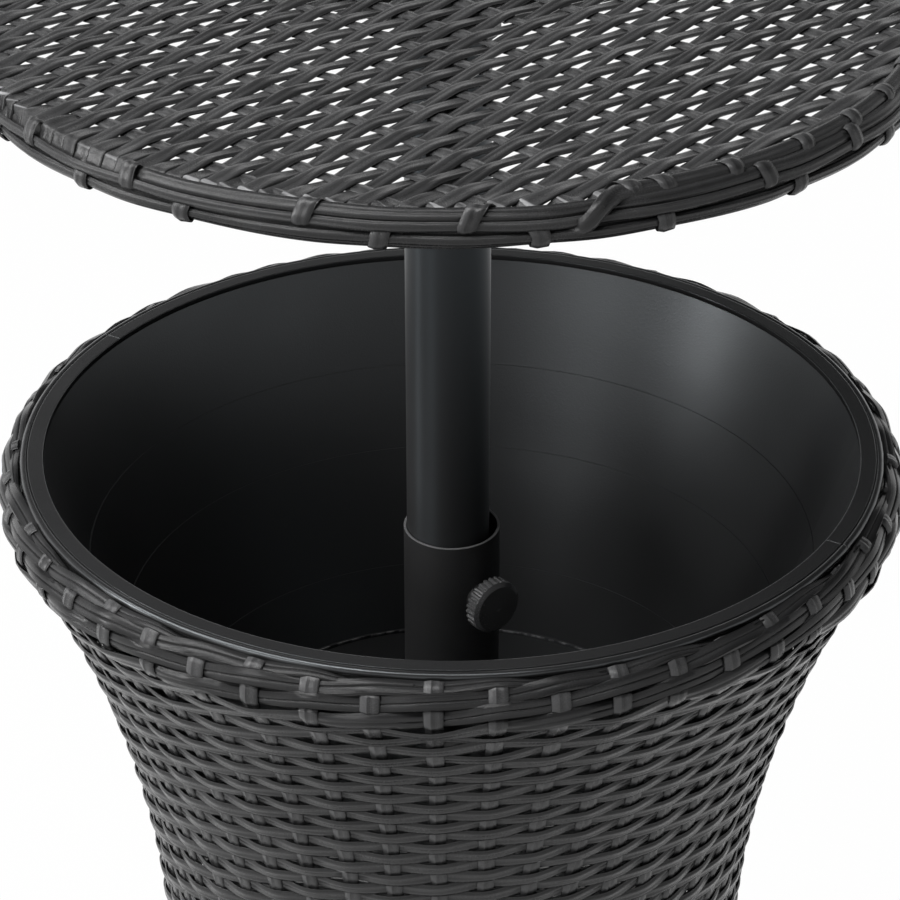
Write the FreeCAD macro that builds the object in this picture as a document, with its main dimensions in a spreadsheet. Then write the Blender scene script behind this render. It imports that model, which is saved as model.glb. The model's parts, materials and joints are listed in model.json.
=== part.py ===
import FreeCAD, Part
import os
import re
import Sketcher

# Cooler table: a woven hourglass tub that holds a bucket for ice, and a round woven table top
# on a post. The post slides in a sleeve at the middle of the tub and is held by a clamp knob,
# so the top is a lid when it is down and a table when it is up.
# Millimetres, +Z up, -Y towards the front. The origin is on the floor under the middle of the tub.

# Driving sizes
# Each one has a name, its value and what it measures.
SIZES = (
    # Tub rim and bucket
    ("body_height", 540, "floor to top of the rim trim"),
    ("mouth_radius", 228, "inner edge of the rim trim"),
    ("trim_width", 13, "rim trim across its band and bead"),
    ("trim_plate", 3, "thickness of the trim's band"),
    ("trim_drop", 13, "top of the trim to the end of its skirt"),
    ("skirt_wall", 1.5, "thickness of the trim's skirt"),
    ("bead_radius", 2.4, "round bead at the trim's outer edge"),
    ("bead_lead", 30, "start of the bead, degrees inside its top"),
    ("bead_turn", 45, "end of the bead, degrees below its outermost point"),
    ("groove_width", 0.7, "groove between band and bead"),
    ("groove_depth", 1.2, "depth of that groove"),
    ("seam_angle", 60, "seam of the two trim halves, from the front towards +X, degrees"),
    ("bucket_wall", 3, "wall of the bucket"),
    ("bucket_depth", 229, "top of the trim to the bucket floor"),
    ("bucket_floor_radius", 147, "flat floor of the bucket"),
    ("floor_ledge", 2, "ledge round the bucket floor"),
    ("wall_step", 0.6, "each small step in the bucket wall"),
    ("upper_step_depth", 66, "top of the trim to the upper wall step"),
    ("middle_step_depth", 116, "top of the trim to the middle wall step"),
    ("lower_step_depth", 187.5, "top of the trim to the lower wall step"),
    # Woven skin
    ("weave_thick", 6, "woven skin through stake and weavers"),
    ("weave_step", 3.5, "skin's top edge outside the trim"),
    ("waist_radius", 175, "narrowest radius of the skin"),
    ("waist_height", 196.5, "floor to the waist"),
    ("border_height", 34, "woven border under the rim"),
    ("border_edge", 6.2, "border thickness at its top and bottom"),
    ("border_crown", 6.5, "how far the border bulges"),
    ("foot_border_height", 25, "woven border at the foot"),
    ("foot_border_edge", 7, "foot border thickness at its top and bottom"),
    ("foot_border_crown", 4, "how far the foot border bulges"),
    ("foot_tuck", 2, "how far the skin's lower edge sits over the foot border"),
    ("row_count", 51, "rows of weavers on the skin"),
    ("row_groove", 2.6, "radius of the hollow between two rows"),
    ("row_relief", 1.8, "depth of that hollow"),
    # Frame of the tub
    ("hoop_rod", 8, "diameter of the top and waist hoops"),
    ("foot_tube", 10, "diameter of the foot ring's tube"),
    ("tube_wall", 1.2, "wall of the foot ring's and the table ring's tube"),
    ("upright_count", 8, "flat uprights round the tub"),
    ("upright_width", 20, "width of an upright"),
    ("upright_thick", 4, "thickness of an upright"),
    ("weave_play", 0.6, "space between uprights and skin"),
    ("cross_width", 25, "width of the bars of both crosses"),
    ("cross_height", 15, "height of the support cross"),
    ("cross_hub", 60, "outer radius of the support cross's hub"),
    ("cross_bore", 45, "open middle of the support cross"),
    ("plate_radius", 70, "support plate under the bucket floor"),
    ("plate_thick", 4, "thickness of the support plate"),
    ("lower_cross_level", 92, "floor to the underside of the lower cross"),
    ("lower_cross_height", 12, "height of the lower cross"),
    ("lower_hub", 45, "radius of the lower cross's hub"),
    ("socket_floor", 4, "metal under the sleeve in the lower cross"),
    ("socket_wall", 4, "wall of the lower cross's socket"),
    ("socket_rise", 15, "height of the socket above the lower cross"),
    ("bumper_thick", 6, "rubber bumper inside the foot of the sleeve"),
    ("glide_count", 4, "glides under the foot ring"),
    ("glide_start", 45, "first glide from +X, degrees"),
    ("glide_radius", 14, "radius of a foot glide"),
    ("glide_height", 8, "floor to the foot ring"),
    ("glide_edge", 1.5, "bevel of a foot glide"),
    # Sleeve, flange and their fasteners
    ("sleeve_radius", 27.5, "outer radius of the sleeve"),
    ("sleeve_wall", 1.5, "wall of the sleeve"),
    ("sleeve_drop", 60, "top of the trim to the top of the sleeve"),
    ("flange_radius", 46, "sleeve flange on the bucket floor"),
    ("flange_thick", 4, "thickness of the sleeve flange"),
    ("collar_wall", 4, "wall of the flange's collar"),
    ("collar_rise", 14, "height of the collar above the flange"),
    ("gasket_thick", 2, "gasket between flange and bucket floor"),
    ("flange_bolt_circle", 38, "radius of the flange's bolt circle"),
    ("bolt_count", 4, "bolts on a bolt circle"),
    ("bolt_start", 45, "first bolt from +X, degrees"),
    ("bolt_radius", 3, "shank of a bolt"),
    ("bolt_head", 5.5, "corner radius of a bolt head or nut"),
    ("bolt_head_height", 4, "height of a flange bolt's head"),
    ("nut_height", 5, "height of a nut"),
    ("bolt_tail", 2, "bolt past its nut"),
    # Post
    ("post_radius", 23.5, "outer radius of the post"),
    ("post_wall", 1.5, "wall of the post"),
    ("post_play", 0.35, "post to sleeve on the side that it leans on"),
    ("post_length", 418.5, "post from its foot to the hub plate"),
    ("foot_plug_head", 5.7, "thickness of the foot plug's head"),
    ("foot_plug_reach", 20, "foot plug inside the post"),
    ("insert_height", 12, "threaded insert in the top of the post"),
    # Table top
    ("table_radius", 251.8, "outer radius of the table top"),
    ("table_lift", 236.5, "rim trim to the underside of the raised table top"),
    ("edge_height", 20, "table edge from underside to top"),
    ("edge_wall", 4.5, "woven wrap outside the frame ring"),
    ("edge_round", 9, "rounding of the table edge"),
    ("wrap_reach", 3, "wrap over the inner side of the frame ring"),
    ("top_weave_thick", 4.7, "woven field of the table top"),
    ("gap_grid", 12, "openings across the field"),
    ("gap_length", 22, "opening along the rows of the field"),
    ("gap_width", 10, "opening across the rows"),
    ("field_turn", 47.25, "rows of the field from +X towards +Y, degrees"),
    ("ring_tube", 12, "tube of the table's frame ring"),
    ("arm_width", 20, "width of a frame arm"),
    ("arm_thick", 6, "thickness of arms and hub plate"),
    ("hub_radius", 28, "radius of the hub plate"),
    ("mount_circle", 13, "bolt circle of the hub plate"),
    ("pan_head", 5, "radius of a pan head"),
    ("pan_height", 2.4, "height of a pan head"),
    # Clamp
    ("clamp_drop", 95, "top of the trim to the clamp's axis"),
    ("clamp_angle", 37, "clamp from the front towards +X, degrees"),
    ("boss_radius", 9, "threaded boss on the sleeve"),
    ("boss_reach", 6.7, "boss from the sleeve's surface"),
    ("screw_radius", 4, "clamp screw"),
    ("knob_radius", 16, "clamp knob"),
    ("knob_thick", 9.8, "thickness of the knob"),
    ("knob_bevel", 2.4, "bevel at the knob's face"),
    ("knob_dome", 0.5, "rise of the knob's face"),
    ("knob_cap", 3, "knob in front of the screw's end"),
    ("notch_count", 27, "notches round the knob"),
    ("notch_depth", 1.3, "depth of a notch"),
    ("notch_floor", 1.1, "width of a notch at its floor"),
    ("notch_mouth", 2.4, "width of a notch at the rim"),
    # Drain
    ("drain_distance", 105, "drain from the middle of the bucket"),
    ("drain_angle", 45, "drain from +X towards +Y, degrees"),
    ("drain_bore", 8, "radius of the drain's bore"),
    ("drain_wall", 3, "wall of the drain's tube"),
    ("drain_flange", 18, "radius of the drain's flange"),
    ("drain_flange_thick", 2.5, "thickness of the drain's flange"),
    ("drain_tail", 18, "drain tube below the bucket floor"),
    ("drain_seal_thick", 2, "seal under the bucket floor"),
    ("drain_nut_radius", 18, "corner radius of the drain's nut"),
    ("drain_nut_height", 7, "height of the drain's nut"),
    ("plug_reach", 12, "plug inside the drain's bore"),
    ("plug_head", 13, "radius of the plug's head"),
    ("plug_head_thick", 3, "thickness of the plug's head"),
    ("plug_grip_radius", 5, "radius of the plug's grip"),
    ("plug_grip_height", 9, "height of the plug's grip"),
    # Clearances
    ("fit_gap", 0.3, "between pieces that seat on each other"),
    ("bolt_play", 0.3, "round a bolt in its hole"),
    ("push_fit", 0.05, "round a plug that is pushed into its tube"),
)

# The small steps in the bucket wall, from the top down
STEP_DEPTHS = ("upper_step_depth", "middle_step_depth", "lower_step_depth")

# Sizes that follow from the driving ones
DERIVED = {
    "trim_outer": "mouth_radius + trim_width",
    "trim_under": "body_height - trim_plate",
    "skirt_outer": "trim_outer - bead_radius * (1 - cos(bead_turn))",
    "skirt_inner": "skirt_outer - skirt_wall",
    "bead_middle": "trim_outer - bead_radius",
    "bead_level": "body_height - bead_radius",
    "lip_radius": "skirt_inner - fit_gap",
    "lip_top": "trim_under - fit_gap",
    "lip_under": "lip_top - bucket_wall",
    "floor_top": "body_height - bucket_depth",
    "floor_under": "floor_top - bucket_wall",
    "ledge_radius": "bucket_floor_radius + floor_ledge",
    "ledge_top": "floor_top + floor_ledge",
    "bucket_taper": "(mouth_radius - ledge_radius - %d * wall_step) / (lip_top - ledge_top)"
                    % len(STEP_DEPTHS),
    "hoop_radius": "skirt_inner - fit_gap - hoop_rod / 2",
    "hoop_level": "lip_under - fit_gap - hoop_rod / 2",
    "border_top": "trim_under",
    "border_bottom": "border_top - border_height",
    "border_inner": "trim_outer + fit_gap",
    "border_bend": "((border_height / 2)^2 + border_crown^2) / (2 * border_crown)",
    "weave_top": "border_bottom - fit_gap",
    "weave_top_radius": "trim_outer + weave_step",
    "weave_swell": "weave_top_radius - waist_radius",
    "side_arc": "((weave_top - waist_height)^2 + weave_swell^2) / (2 * weave_swell)",
    "side_middle": "waist_radius + side_arc",
    "foot_border_top": "glide_height + foot_border_height",
    "foot_border_bend": "((foot_border_height / 2)^2 + foot_border_crown^2) / (2 * foot_border_crown)",
    "weave_bottom": "foot_border_top + fit_gap",
    "weave_bottom_radius": "side_middle - sqrt(side_arc^2 - (weave_bottom - waist_height)^2)",
    "foot_inner": "weave_bottom_radius - foot_tuck",
    "foot_ring_radius": "foot_inner - fit_gap - foot_tube / 2",
    "foot_ring_level": "glide_height + foot_tube / 2",
    "upright_outset": "weave_thick + weave_play",
    "upright_bottom": "glide_height + foot_tube + fit_gap",
    "upright_top": "hoop_level - hoop_rod / 2 - fit_gap",
    "frame_inset": "upright_outset + upright_thick + fit_gap",
    "plate_under": "floor_under - plate_thick",
    "cross_under": "plate_under - cross_height",
    "lower_cross_top": "lower_cross_level + lower_cross_height",
    "sleeve_bottom": "lower_cross_level + socket_floor",
    "sleeve_top": "body_height - sleeve_drop",
    "sleeve_inner": "sleeve_radius - sleeve_wall",
    "sleeve_hole": "sleeve_radius + fit_gap",
    "flange_under": "floor_top + gasket_thick",
    "flange_top": "flange_under + flange_thick",
    "bolt_hole": "bolt_radius + bolt_play",
    "post_lean": "sleeve_inner - post_radius - post_play",
    "post_inner": "post_radius - post_wall",
    "table_bottom": "body_height + table_lift",
    "table_top": "table_bottom + edge_height",
    "top_weave_under": "table_top - top_weave_thick",
    "ring_radius": "table_radius - edge_wall - fit_gap - ring_tube / 2",
    "ring_level": "top_weave_under - fit_gap - ring_tube / 2",
    "ring_hollow": "ring_tube / 2 + fit_gap",
    "wrap_inner": "ring_radius - wrap_reach",
    "field_radius": "wrap_inner - fit_gap",
    "gap_pitch": "2 * field_radius / gap_grid",
    "hub_under": "ring_level - arm_thick / 2",
    "hub_top": "hub_under + arm_thick",
    "post_bottom": "hub_under - post_length",
    "clamp_level": "body_height - clamp_drop",
    "boss_front": "sleeve_radius + boss_reach",
    "knob_back": "boss_front + fit_gap",
    "screw_tip": "sqrt(post_radius^2 - (post_lean * cos(clamp_angle))^2)"
                 " - post_lean * sin(clamp_angle) + fit_gap",
    "screw_end": "knob_thick - knob_cap",
    "drain_across": "drain_distance * cos(drain_angle)",
    "drain_back": "drain_distance * sin(drain_angle)",
    "drain_tube": "drain_bore + drain_wall",
    "drain_top": "floor_top + drain_flange_thick",
    "drain_under": "floor_under - drain_tail",
}

doc = FreeCAD.newDocument("cooler_table")
sheet = doc.addObject("Spreadsheet::Sheet", "Sizes")
for row, (alias, number, meaning) in enumerate(SIZES, start=1):
    sheet.set("A%d" % row, meaning)
    sheet.set("B%d" % row, str(number))
    sheet.setAlias("B%d" % row, alias)
doc.recompute()

DRIVING = {alias for alias, number, meaning in SIZES}
WORD = re.compile(r"[a-z][a-z_]*")


def formula(text):
    """The text as an expression: driving sizes point at their cells, derived ones are spelled out."""
    def spelled(match):
        word = match.group()
        if word in DERIVED:
            return "(" + formula(DERIVED[word]) + ")"
        if word in DRIVING:
            return "Sizes." + word
        return word
    return WORD.sub(spelled, str(text))


def value(text):
    """What the formula comes to now."""
    result = sheet.evalExpression(formula(text))
    return float(getattr(result, "Value", result))


def side(level, inset="0"):
    """Formula for the tub's side at a level: an arc about a centre outside the tub, less an inset."""
    return ("(side_middle - sqrt((side_arc + (%s))^2 - ((%s) - waist_height)^2))" % (inset, level))


def at(across="0", back="0", up="0", turn="0", tip="0"):
    """Expression for a placement: a point, a turn about Z, and before it a tip about X."""
    parts = tuple(formula(part) for part in (across, back, up, turn, tip))
    return "placement(vector(%s; %s; %s); rotation(%s; 0; %s))" % parts


def new_body(name, place=None):
    body = doc.addObject("PartDesign::Body", name)
    if place:
        body.setExpression("Placement", place)
    return body


def new_sketch(body, plane, lift="0"):
    """An empty sketch on one of the body's own planes, raised along the plane's normal."""
    sketch = body.newObject("Sketcher::SketchObject", body.Name + "_sketch")
    support = [item for item in body.Origin.OriginFeatures if item.Role == plane][0]
    sketch.AttachmentSupport = [(support, "")]
    sketch.MapMode = "FlatFace"
    if lift != "0":
        sketch.setExpression("AttachmentOffset.Base.z", formula(lift))
    return sketch


def tie(sketch, constraint, text):
    """Adds a dimension that follows a formula."""
    index = sketch.addConstraint(constraint)
    sketch.setExpression("Constraints[%d]" % index, formula(text))


def tie_point(sketch, edge, end, across, up):
    """Holds a point at its two coordinates; a zero one lies on the axis."""
    for kind, axis, text in (("DistanceX", -2, across), ("DistanceY", -1, up)):
        if text == "0":
            sketch.addConstraint(Sketcher.Constraint("PointOnObject", edge, end, axis))
        else:
            tie(sketch, Sketcher.Constraint(kind, edge, end, value(text)), text)


def draw(sketch, corners):
    """A closed outline. A corner is (across, up), or (across, up, side, radius) where the edge that
    leaves it is an arc whose centre lies on that side, left or right, of the way to the next corner."""
    first = sketch.GeometryCount
    points = [FreeCAD.Vector(value(corner[0]), value(corner[1]), 0) for corner in corners]
    starts = []
    for index, corner in enumerate(corners):
        here = points[index]
        there = points[(index + 1) % len(points)]
        if len(corner) == 2:
            sketch.addGeometry(Part.LineSegment(here, there))
            starts.append((1, 2))
            continue
        way = there - here
        left = FreeCAD.Vector(-way.y, way.x, 0).normalize()
        radius = value(corner[3])
        sign = 1 if corner[2] == "left" else -1
        middle = (here + there) * 0.5 + left * sign * (radius**2 - (way.Length / 2)**2)**0.5
        ends = (here, there) if sign > 0 else (there, here)
        angles = [(point - middle).getAngle(FreeCAD.Vector(1, 0, 0)) for point in ends]
        angles = [-a if point.y < middle.y else a for a, point in zip(angles, ends)]
        circle = Part.Circle(middle, FreeCAD.Vector(0, 0, 1), radius)
        sketch.addGeometry(Part.ArcOfCircle(circle, angles[0], angles[1]))
        starts.append((1, 2) if sign > 0 else (2, 1))
    for index, corner in enumerate(corners):
        following = (index + 1) % len(corners)
        sketch.addConstraint(Sketcher.Constraint(
            "Coincident", first + index, starts[index][1], first + following, starts[following][0]))
        tie_point(sketch, first + index, starts[index][0], corner[0], corner[1])
        if len(corner) > 2:
            tie(sketch, Sketcher.Constraint("Radius", first + index, value(corner[3])), corner[3])


def draw_circle(sketch, radius, across="0", up="0"):
    """A circle tied to its radius and centre."""
    centre = FreeCAD.Vector(value(across), value(up), 0)
    edge = sketch.addGeometry(Part.Circle(centre, FreeCAD.Vector(0, 0, 1), value(radius)))
    tie(sketch, Sketcher.Constraint("Radius", edge, value(radius)), radius)
    tie_point(sketch, edge, 3, across, up)


def revolve(name, corners, place=None, angle="360", body=None):
    """A body turned about Z from an outline of (radius, level) corners."""
    body = body or new_body(name, place)
    sketch = new_sketch(body, "XZ_Plane")
    draw(sketch, corners)
    turned = body.newObject("PartDesign::Revolution", name + "_turned")
    turned.Profile = (sketch, [""])
    turned.ReferenceAxis = (sketch, ["V_Axis"])
    turned.setExpression("Angle", formula(angle))
    return body


def extrude(body, sketch, length, both_ways=False):
    """Pads a sketch along its plane's normal."""
    pad = body.newObject("PartDesign::Pad", body.Name + "_pad")
    pad.Profile = (sketch, [""])
    pad.setExpression("Length", formula(length))
    pad.SideType = "Symmetric" if both_ways else "One side"
    return pad


def cut_away(body, sketch, length, towards_normal=True, both_ways=False):
    """Cuts a sketch out of a body."""
    pocket = body.newObject("PartDesign::Pocket", body.Name + "_pocket")
    pocket.Profile = (sketch, [""])
    pocket.setExpression("Length", formula(length))
    pocket.SideType = "Symmetric" if both_ways else "One side"
    pocket.Reversed = towards_normal and not both_ways
    return pocket


def tube(name, outer, inner, bottom, top, place=None):
    """A straight tube about Z between two levels."""
    return revolve(name, ((inner, bottom), (outer, bottom), (outer, top), (inner, top)), place)


def disc(name, radius, bottom, top, place=None):
    """A solid disc about Z between two levels."""
    return revolve(name, (("0", bottom), (radius, bottom), (radius, top), ("0", top)), place)


def bolt_circle(circle):
    """Formulas (across, back) for the places on a bolt circle."""
    places = []
    for index in range(int(value("bolt_count"))):
        turn = "(bolt_start + %d * 360 / bolt_count)" % index
        places.append(("%s * cos%s" % (circle, turn), "%s * sin%s" % (circle, turn)))
    return places


def drill(body, places, radius, bottom, top):
    """Round holes through a body between two levels."""
    sketch = new_sketch(body, "XY_Plane", bottom)
    for across, back in places:
        draw_circle(sketch, radius, across, back)
    return cut_away(body, sketch, "(%s) - (%s)" % (top, bottom))


def cylinder(name, radius, bottom, top, across="0", back="0"):
    solid = doc.addObject("Part::Cylinder", name)
    solid.setExpression("Radius", formula(radius))
    solid.setExpression("Height", formula("(%s) - (%s)" % (top, bottom)))
    solid.setExpression("Placement", at(across, back, bottom))
    return solid


def prism(name, corner_radius, bottom, top, across="0", back="0"):
    solid = doc.addObject("Part::Prism", name)
    solid.Polygon = 6
    solid.setExpression("Circumradius", formula(corner_radius))
    solid.setExpression("Height", formula("(%s) - (%s)" % (top, bottom)))
    solid.setExpression("Placement", at(across, back, bottom))
    return solid


def fuse(name, first, second):
    joined = doc.addObject("Part::Fuse", name)
    joined.Base = first
    joined.Tool = second
    return joined


def cut(name, first, second):
    left = doc.addObject("Part::Cut", name)
    left.Base = first
    left.Tool = second
    return left


def group(name, members):
    """Separate solids of one kind in one node."""
    together = doc.addObject("Part::Compound", name)
    together.Links = members
    return together


# Rim trim
def rim_trim(name, turn):
    """Half of the rim's cover: a flat band, a groove and a round bead, with a skirt behind the weave."""
    bead_start = "bead_middle - bead_radius * sin(bead_lead)"
    bead_start_level = "bead_level + bead_radius * cos(bead_lead)"
    bead_end_level = "bead_level - bead_radius * sin(bead_turn)"
    groove_floor = "body_height - groove_depth"
    corners = (
        ("mouth_radius", "trim_under"),
        ("skirt_inner", "trim_under"),
        ("skirt_inner", "body_height - trim_drop"),
        ("skirt_outer", "body_height - trim_drop"),
        ("skirt_outer", bead_end_level, "left", "bead_radius"),
        (bead_start, bead_start_level),
        (bead_start, groove_floor),
        (bead_start + " - groove_width", groove_floor),
        (bead_start + " - groove_width", "body_height"),
        ("mouth_radius + fit_gap", "body_height"),
        ("mouth_radius", "body_height - fit_gap"),
    )
    half_seam = "(90 * fit_gap / (pi * mouth_radius))"
    turn = "%s + %s" % (turn, half_seam)
    return revolve(name, corners, at(turn=turn), "180 - 2 * " + half_seam)


# Bucket
def bucket_liner():
    """The bucket: conical wall with three small steps, a ledge round the floor and a lip at the mouth."""
    def wall(depth, steps):
        level = "body_height - (%s)" % depth
        radius = "mouth_radius - bucket_taper * (lip_top - (%s)) - %d * wall_step" % (level, steps)
        return radius, level
    corners = [
        ("sleeve_hole", "floor_under"),
        ("ledge_radius + bucket_wall", "floor_under"),
        ("mouth_radius + bucket_wall", "lip_under"),
        ("lip_radius", "lip_under"),
        ("lip_radius", "lip_top"),
        ("mouth_radius", "lip_top"),
    ]
    for steps, depth in enumerate(STEP_DEPTHS):
        corners.append(wall(depth, steps))
        corners.append(wall(depth, steps + 1))
    corners += [
        ("ledge_radius", "ledge_top"),
        ("bucket_floor_radius", "ledge_top"),
        ("bucket_floor_radius", "floor_top"),
        ("sleeve_hole", "floor_top"),
    ]
    body = revolve("bucket_liner", corners)
    drill(body, bolt_circle("flange_bolt_circle"), "bolt_hole", "floor_under", "floor_top")
    drill(body, (("drain_across", "drain_back"),), "drain_tube + bolt_play", "floor_under", "floor_top")
    return body


# Woven skin and borders
def body_weave():
    """The skin between the borders: an hourglass shell with a round hollow between rows of weavers."""
    skin = revolve("weave_skin", (
        (side("weave_bottom", "weave_thick"), "weave_bottom"),
        (side("weave_bottom"), "weave_bottom", "right", "side_arc"),
        (side("weave_top"), "weave_top"),
        (side("weave_top", "weave_thick"), "weave_top", "left", "side_arc + weave_thick"),
    ))
    hollows = []
    for number in range(1, int(value("row_count"))):
        level = "(weave_bottom + %d * (weave_top - weave_bottom) / row_count)" % number
        hollow = doc.addObject("Part::Torus", "row_hollow_%d" % number)
        hollow.setExpression("Radius1", formula("%s + row_groove - row_relief" % side(level)))
        hollow.setExpression("Radius2", formula("row_groove"))
        hollow.setExpression("Placement", at(up=level))
        hollows.append(hollow)
    return cut("body_weave", skin, group("row_hollows", hollows))


def border(name, inner, edge, bend, bottom, top):
    """A woven border: a band with a crowned outer face."""
    outer = "%s + %s" % (inner, edge)
    return revolve(name, ((inner, bottom), (outer, bottom, "left", bend), (outer, top), (inner, top)))


# Frame of the tub
def hoop(name, ring_radius, rod, level, place=None, wall=None):
    """A round rod, or with a wall a tube, bent to a full ring."""
    body = new_body(name, place)
    sketch = new_sketch(body, "XZ_Plane")
    draw_circle(sketch, rod + " / 2", ring_radius, level)
    if wall:
        draw_circle(sketch, "%s / 2 - %s" % (rod, wall), ring_radius, level)
    turned = body.newObject("PartDesign::Revolution", name + "_turned")
    turned.Profile = (sketch, [""])
    turned.ReferenceAxis = (sketch, ["V_Axis"])
    return body


def upright(name, turn):
    """A flat bar bent to follow the inside of the skin, straight above it up to the top hoop."""
    body = new_body(name, at(turn=turn))
    sketch = new_sketch(body, "XZ_Plane")
    outer = "upright_outset"
    inner = "upright_outset + upright_thick"
    draw(sketch, (
        (side("upright_bottom", inner), "upright_bottom"),
        (side("upright_bottom", outer), "upright_bottom", "right", "side_arc + " + outer),
        (side("weave_top", outer), "weave_top"),
        (side("weave_top", outer), "upright_top"),
        (side("weave_top", inner), "upright_top"),
        (side("weave_top", inner), "weave_top", "left", "side_arc + " + inner),
    ))
    extrude(body, sketch, "upright_width", both_ways=True)
    return body


def cross(name, reach, bottom, thickness, hub):
    """Two bars that cross under the bucket, with a round hub."""
    body = new_body(name)
    half = "cross_width / 2"
    sketch = new_sketch(body, "XY_Plane", bottom)
    signs = ((1, 1), (-1, 1), (-1, -1), (1, -1))
    corners = []
    for index, (sign_x, sign_y) in enumerate(signs):
        along_x = ("%d * (%s)" % (sign_x, reach), "%d * %s" % (sign_y, half))
        inside = ("%d * %s" % (sign_x, half), "%d * %s" % (sign_y, half))
        along_y = ("%d * %s" % (sign_x, half), "%d * (%s)" % (sign_y, reach))
        turn = (along_x, inside, along_y)
        corners += turn if index % 2 == 0 else turn[::-1]
    draw(sketch, corners)
    extrude(body, sketch, thickness)
    disc = new_sketch(body, "XY_Plane", bottom)
    draw_circle(disc, hub)
    extrude(body, disc, thickness)
    return body


def support_cross():
    """Carries the support plate; its open middle leaves room for the flange's nuts."""
    reach = side("cross_under", "frame_inset")
    body = cross("support_cross", reach, "cross_under", "cross_height", "cross_hub")
    drill(body, (("0", "0"),), "cross_bore", "cross_under", "plate_under")
    return body


def lower_cross():
    """Holds the foot of the sleeve in a socket."""
    reach = side("lower_cross_top", "frame_inset")
    body = cross("lower_cross", reach, "lower_cross_level", "lower_cross_height", "lower_hub")
    socket_top = "lower_cross_top + socket_rise"
    collar = new_sketch(body, "XY_Plane", "lower_cross_top")
    draw_circle(collar, "sleeve_hole + socket_wall")
    extrude(body, collar, "socket_rise")
    drill(body, (("0", "0"),), "sleeve_hole", "sleeve_bottom", socket_top)
    return body


def support_plate():
    body = tube("support_plate", "plate_radius", "sleeve_hole", "plate_under", "floor_under")
    drill(body, bolt_circle("flange_bolt_circle"), "bolt_hole", "plate_under", "floor_under")
    return body


def foot_glide(name, turn):
    """A plastic pad under the foot ring."""
    across = "foot_ring_radius * cos(%s)" % turn
    back = "foot_ring_radius * sin(%s)" % turn
    return revolve(name, (
        ("0", "0"),
        ("glide_radius - glide_edge", "0"),
        ("glide_radius", "glide_edge"),
        ("glide_radius", "glide_height - fit_gap"),
        ("0", "glide_height - fit_gap"),
    ), at(across, back))


# Sleeve and flange
def post_sleeve():
    """The tube that the post slides in, with the clamp screw's hole."""
    body = tube("post_sleeve", "sleeve_radius", "sleeve_inner", "sleeve_bottom", "sleeve_top",
                at(turn="clamp_angle"))
    hole = new_sketch(body, "XZ_Plane")
    draw_circle(hole, "screw_radius + bolt_play", "0", "clamp_level")
    cut_away(body, hole, "sleeve_radius + boss_reach")
    return body


def sleeve_flange():
    """A flange with a collar that joins the sleeve to the bucket floor."""
    collar = "sleeve_hole + collar_wall"
    collar_top = "flange_top + collar_rise"
    body = revolve("sleeve_flange", (
        ("sleeve_hole", "flange_under"),
        ("flange_radius", "flange_under"),
        ("flange_radius", "flange_top"),
        (collar, "flange_top"),
        (collar, collar_top),
        ("sleeve_hole", collar_top),
    ))
    drill(body, bolt_circle("flange_bolt_circle"), "bolt_hole", "flange_under", "flange_top")
    return body


def flange_gasket():
    body = tube("flange_gasket", "flange_radius", "sleeve_hole", "floor_top", "flange_under")
    drill(body, bolt_circle("flange_bolt_circle"), "bolt_hole", "floor_top", "flange_under")
    return body


def flange_bolts():
    """Four bolts down through flange, gasket, bucket floor and support plate."""
    bolts = []
    tail = "plate_under - nut_height - bolt_tail"
    for index, (across, back) in enumerate(bolt_circle("flange_bolt_circle"), start=1):
        shank = cylinder("flange_shank_%d" % index, "bolt_radius", tail, "flange_top", across, back)
        head = prism("flange_head_%d" % index, "bolt_head", "flange_top",
                     "flange_top + bolt_head_height", across, back)
        bolts.append(fuse("flange_bolt_%d" % index, shank, head))
    return group("flange_bolts", bolts)


def flange_nuts():
    nuts = []
    for index, (across, back) in enumerate(bolt_circle("flange_bolt_circle"), start=1):
        blank = prism("flange_nut_blank_%d" % index, "bolt_head", "plate_under - nut_height",
                      "plate_under", across, back)
        bore = cylinder("flange_nut_bore_%d" % index, "bolt_radius + push_fit",
                        "plate_under - nut_height", "plate_under", across, back)
        nuts.append(cut("flange_nut_%d" % index, blank, bore))
    return group("flange_nuts", nuts)


# Clamp
CLAMP = at(up="clamp_level", turn="clamp_angle", tip="90")


def clamp_boss():
    """The threaded boss on the sleeve, hollowed to sit on its round surface."""
    body = new_body("clamp_boss", CLAMP)
    ring = new_sketch(body, "XY_Plane", "sleeve_radius - boss_reach")
    draw_circle(ring, "boss_radius")
    draw_circle(ring, "screw_radius + bolt_play")
    extrude(body, ring, "2 * boss_reach")
    saddle = new_sketch(body, "XZ_Plane")
    draw_circle(saddle, "sleeve_radius")
    cut_away(body, saddle, "4 * boss_radius", both_ways=True)
    return body


def clamp_screw():
    """The screw that presses on the post."""
    return revolve("clamp_screw", (
        ("0", "screw_tip"),
        ("screw_radius - fit_gap", "screw_tip"),
        ("screw_radius", "screw_tip + fit_gap"),
        ("screw_radius", "knob_back + screw_end"),
        ("0", "knob_back + screw_end"),
    ), CLAMP)


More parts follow.
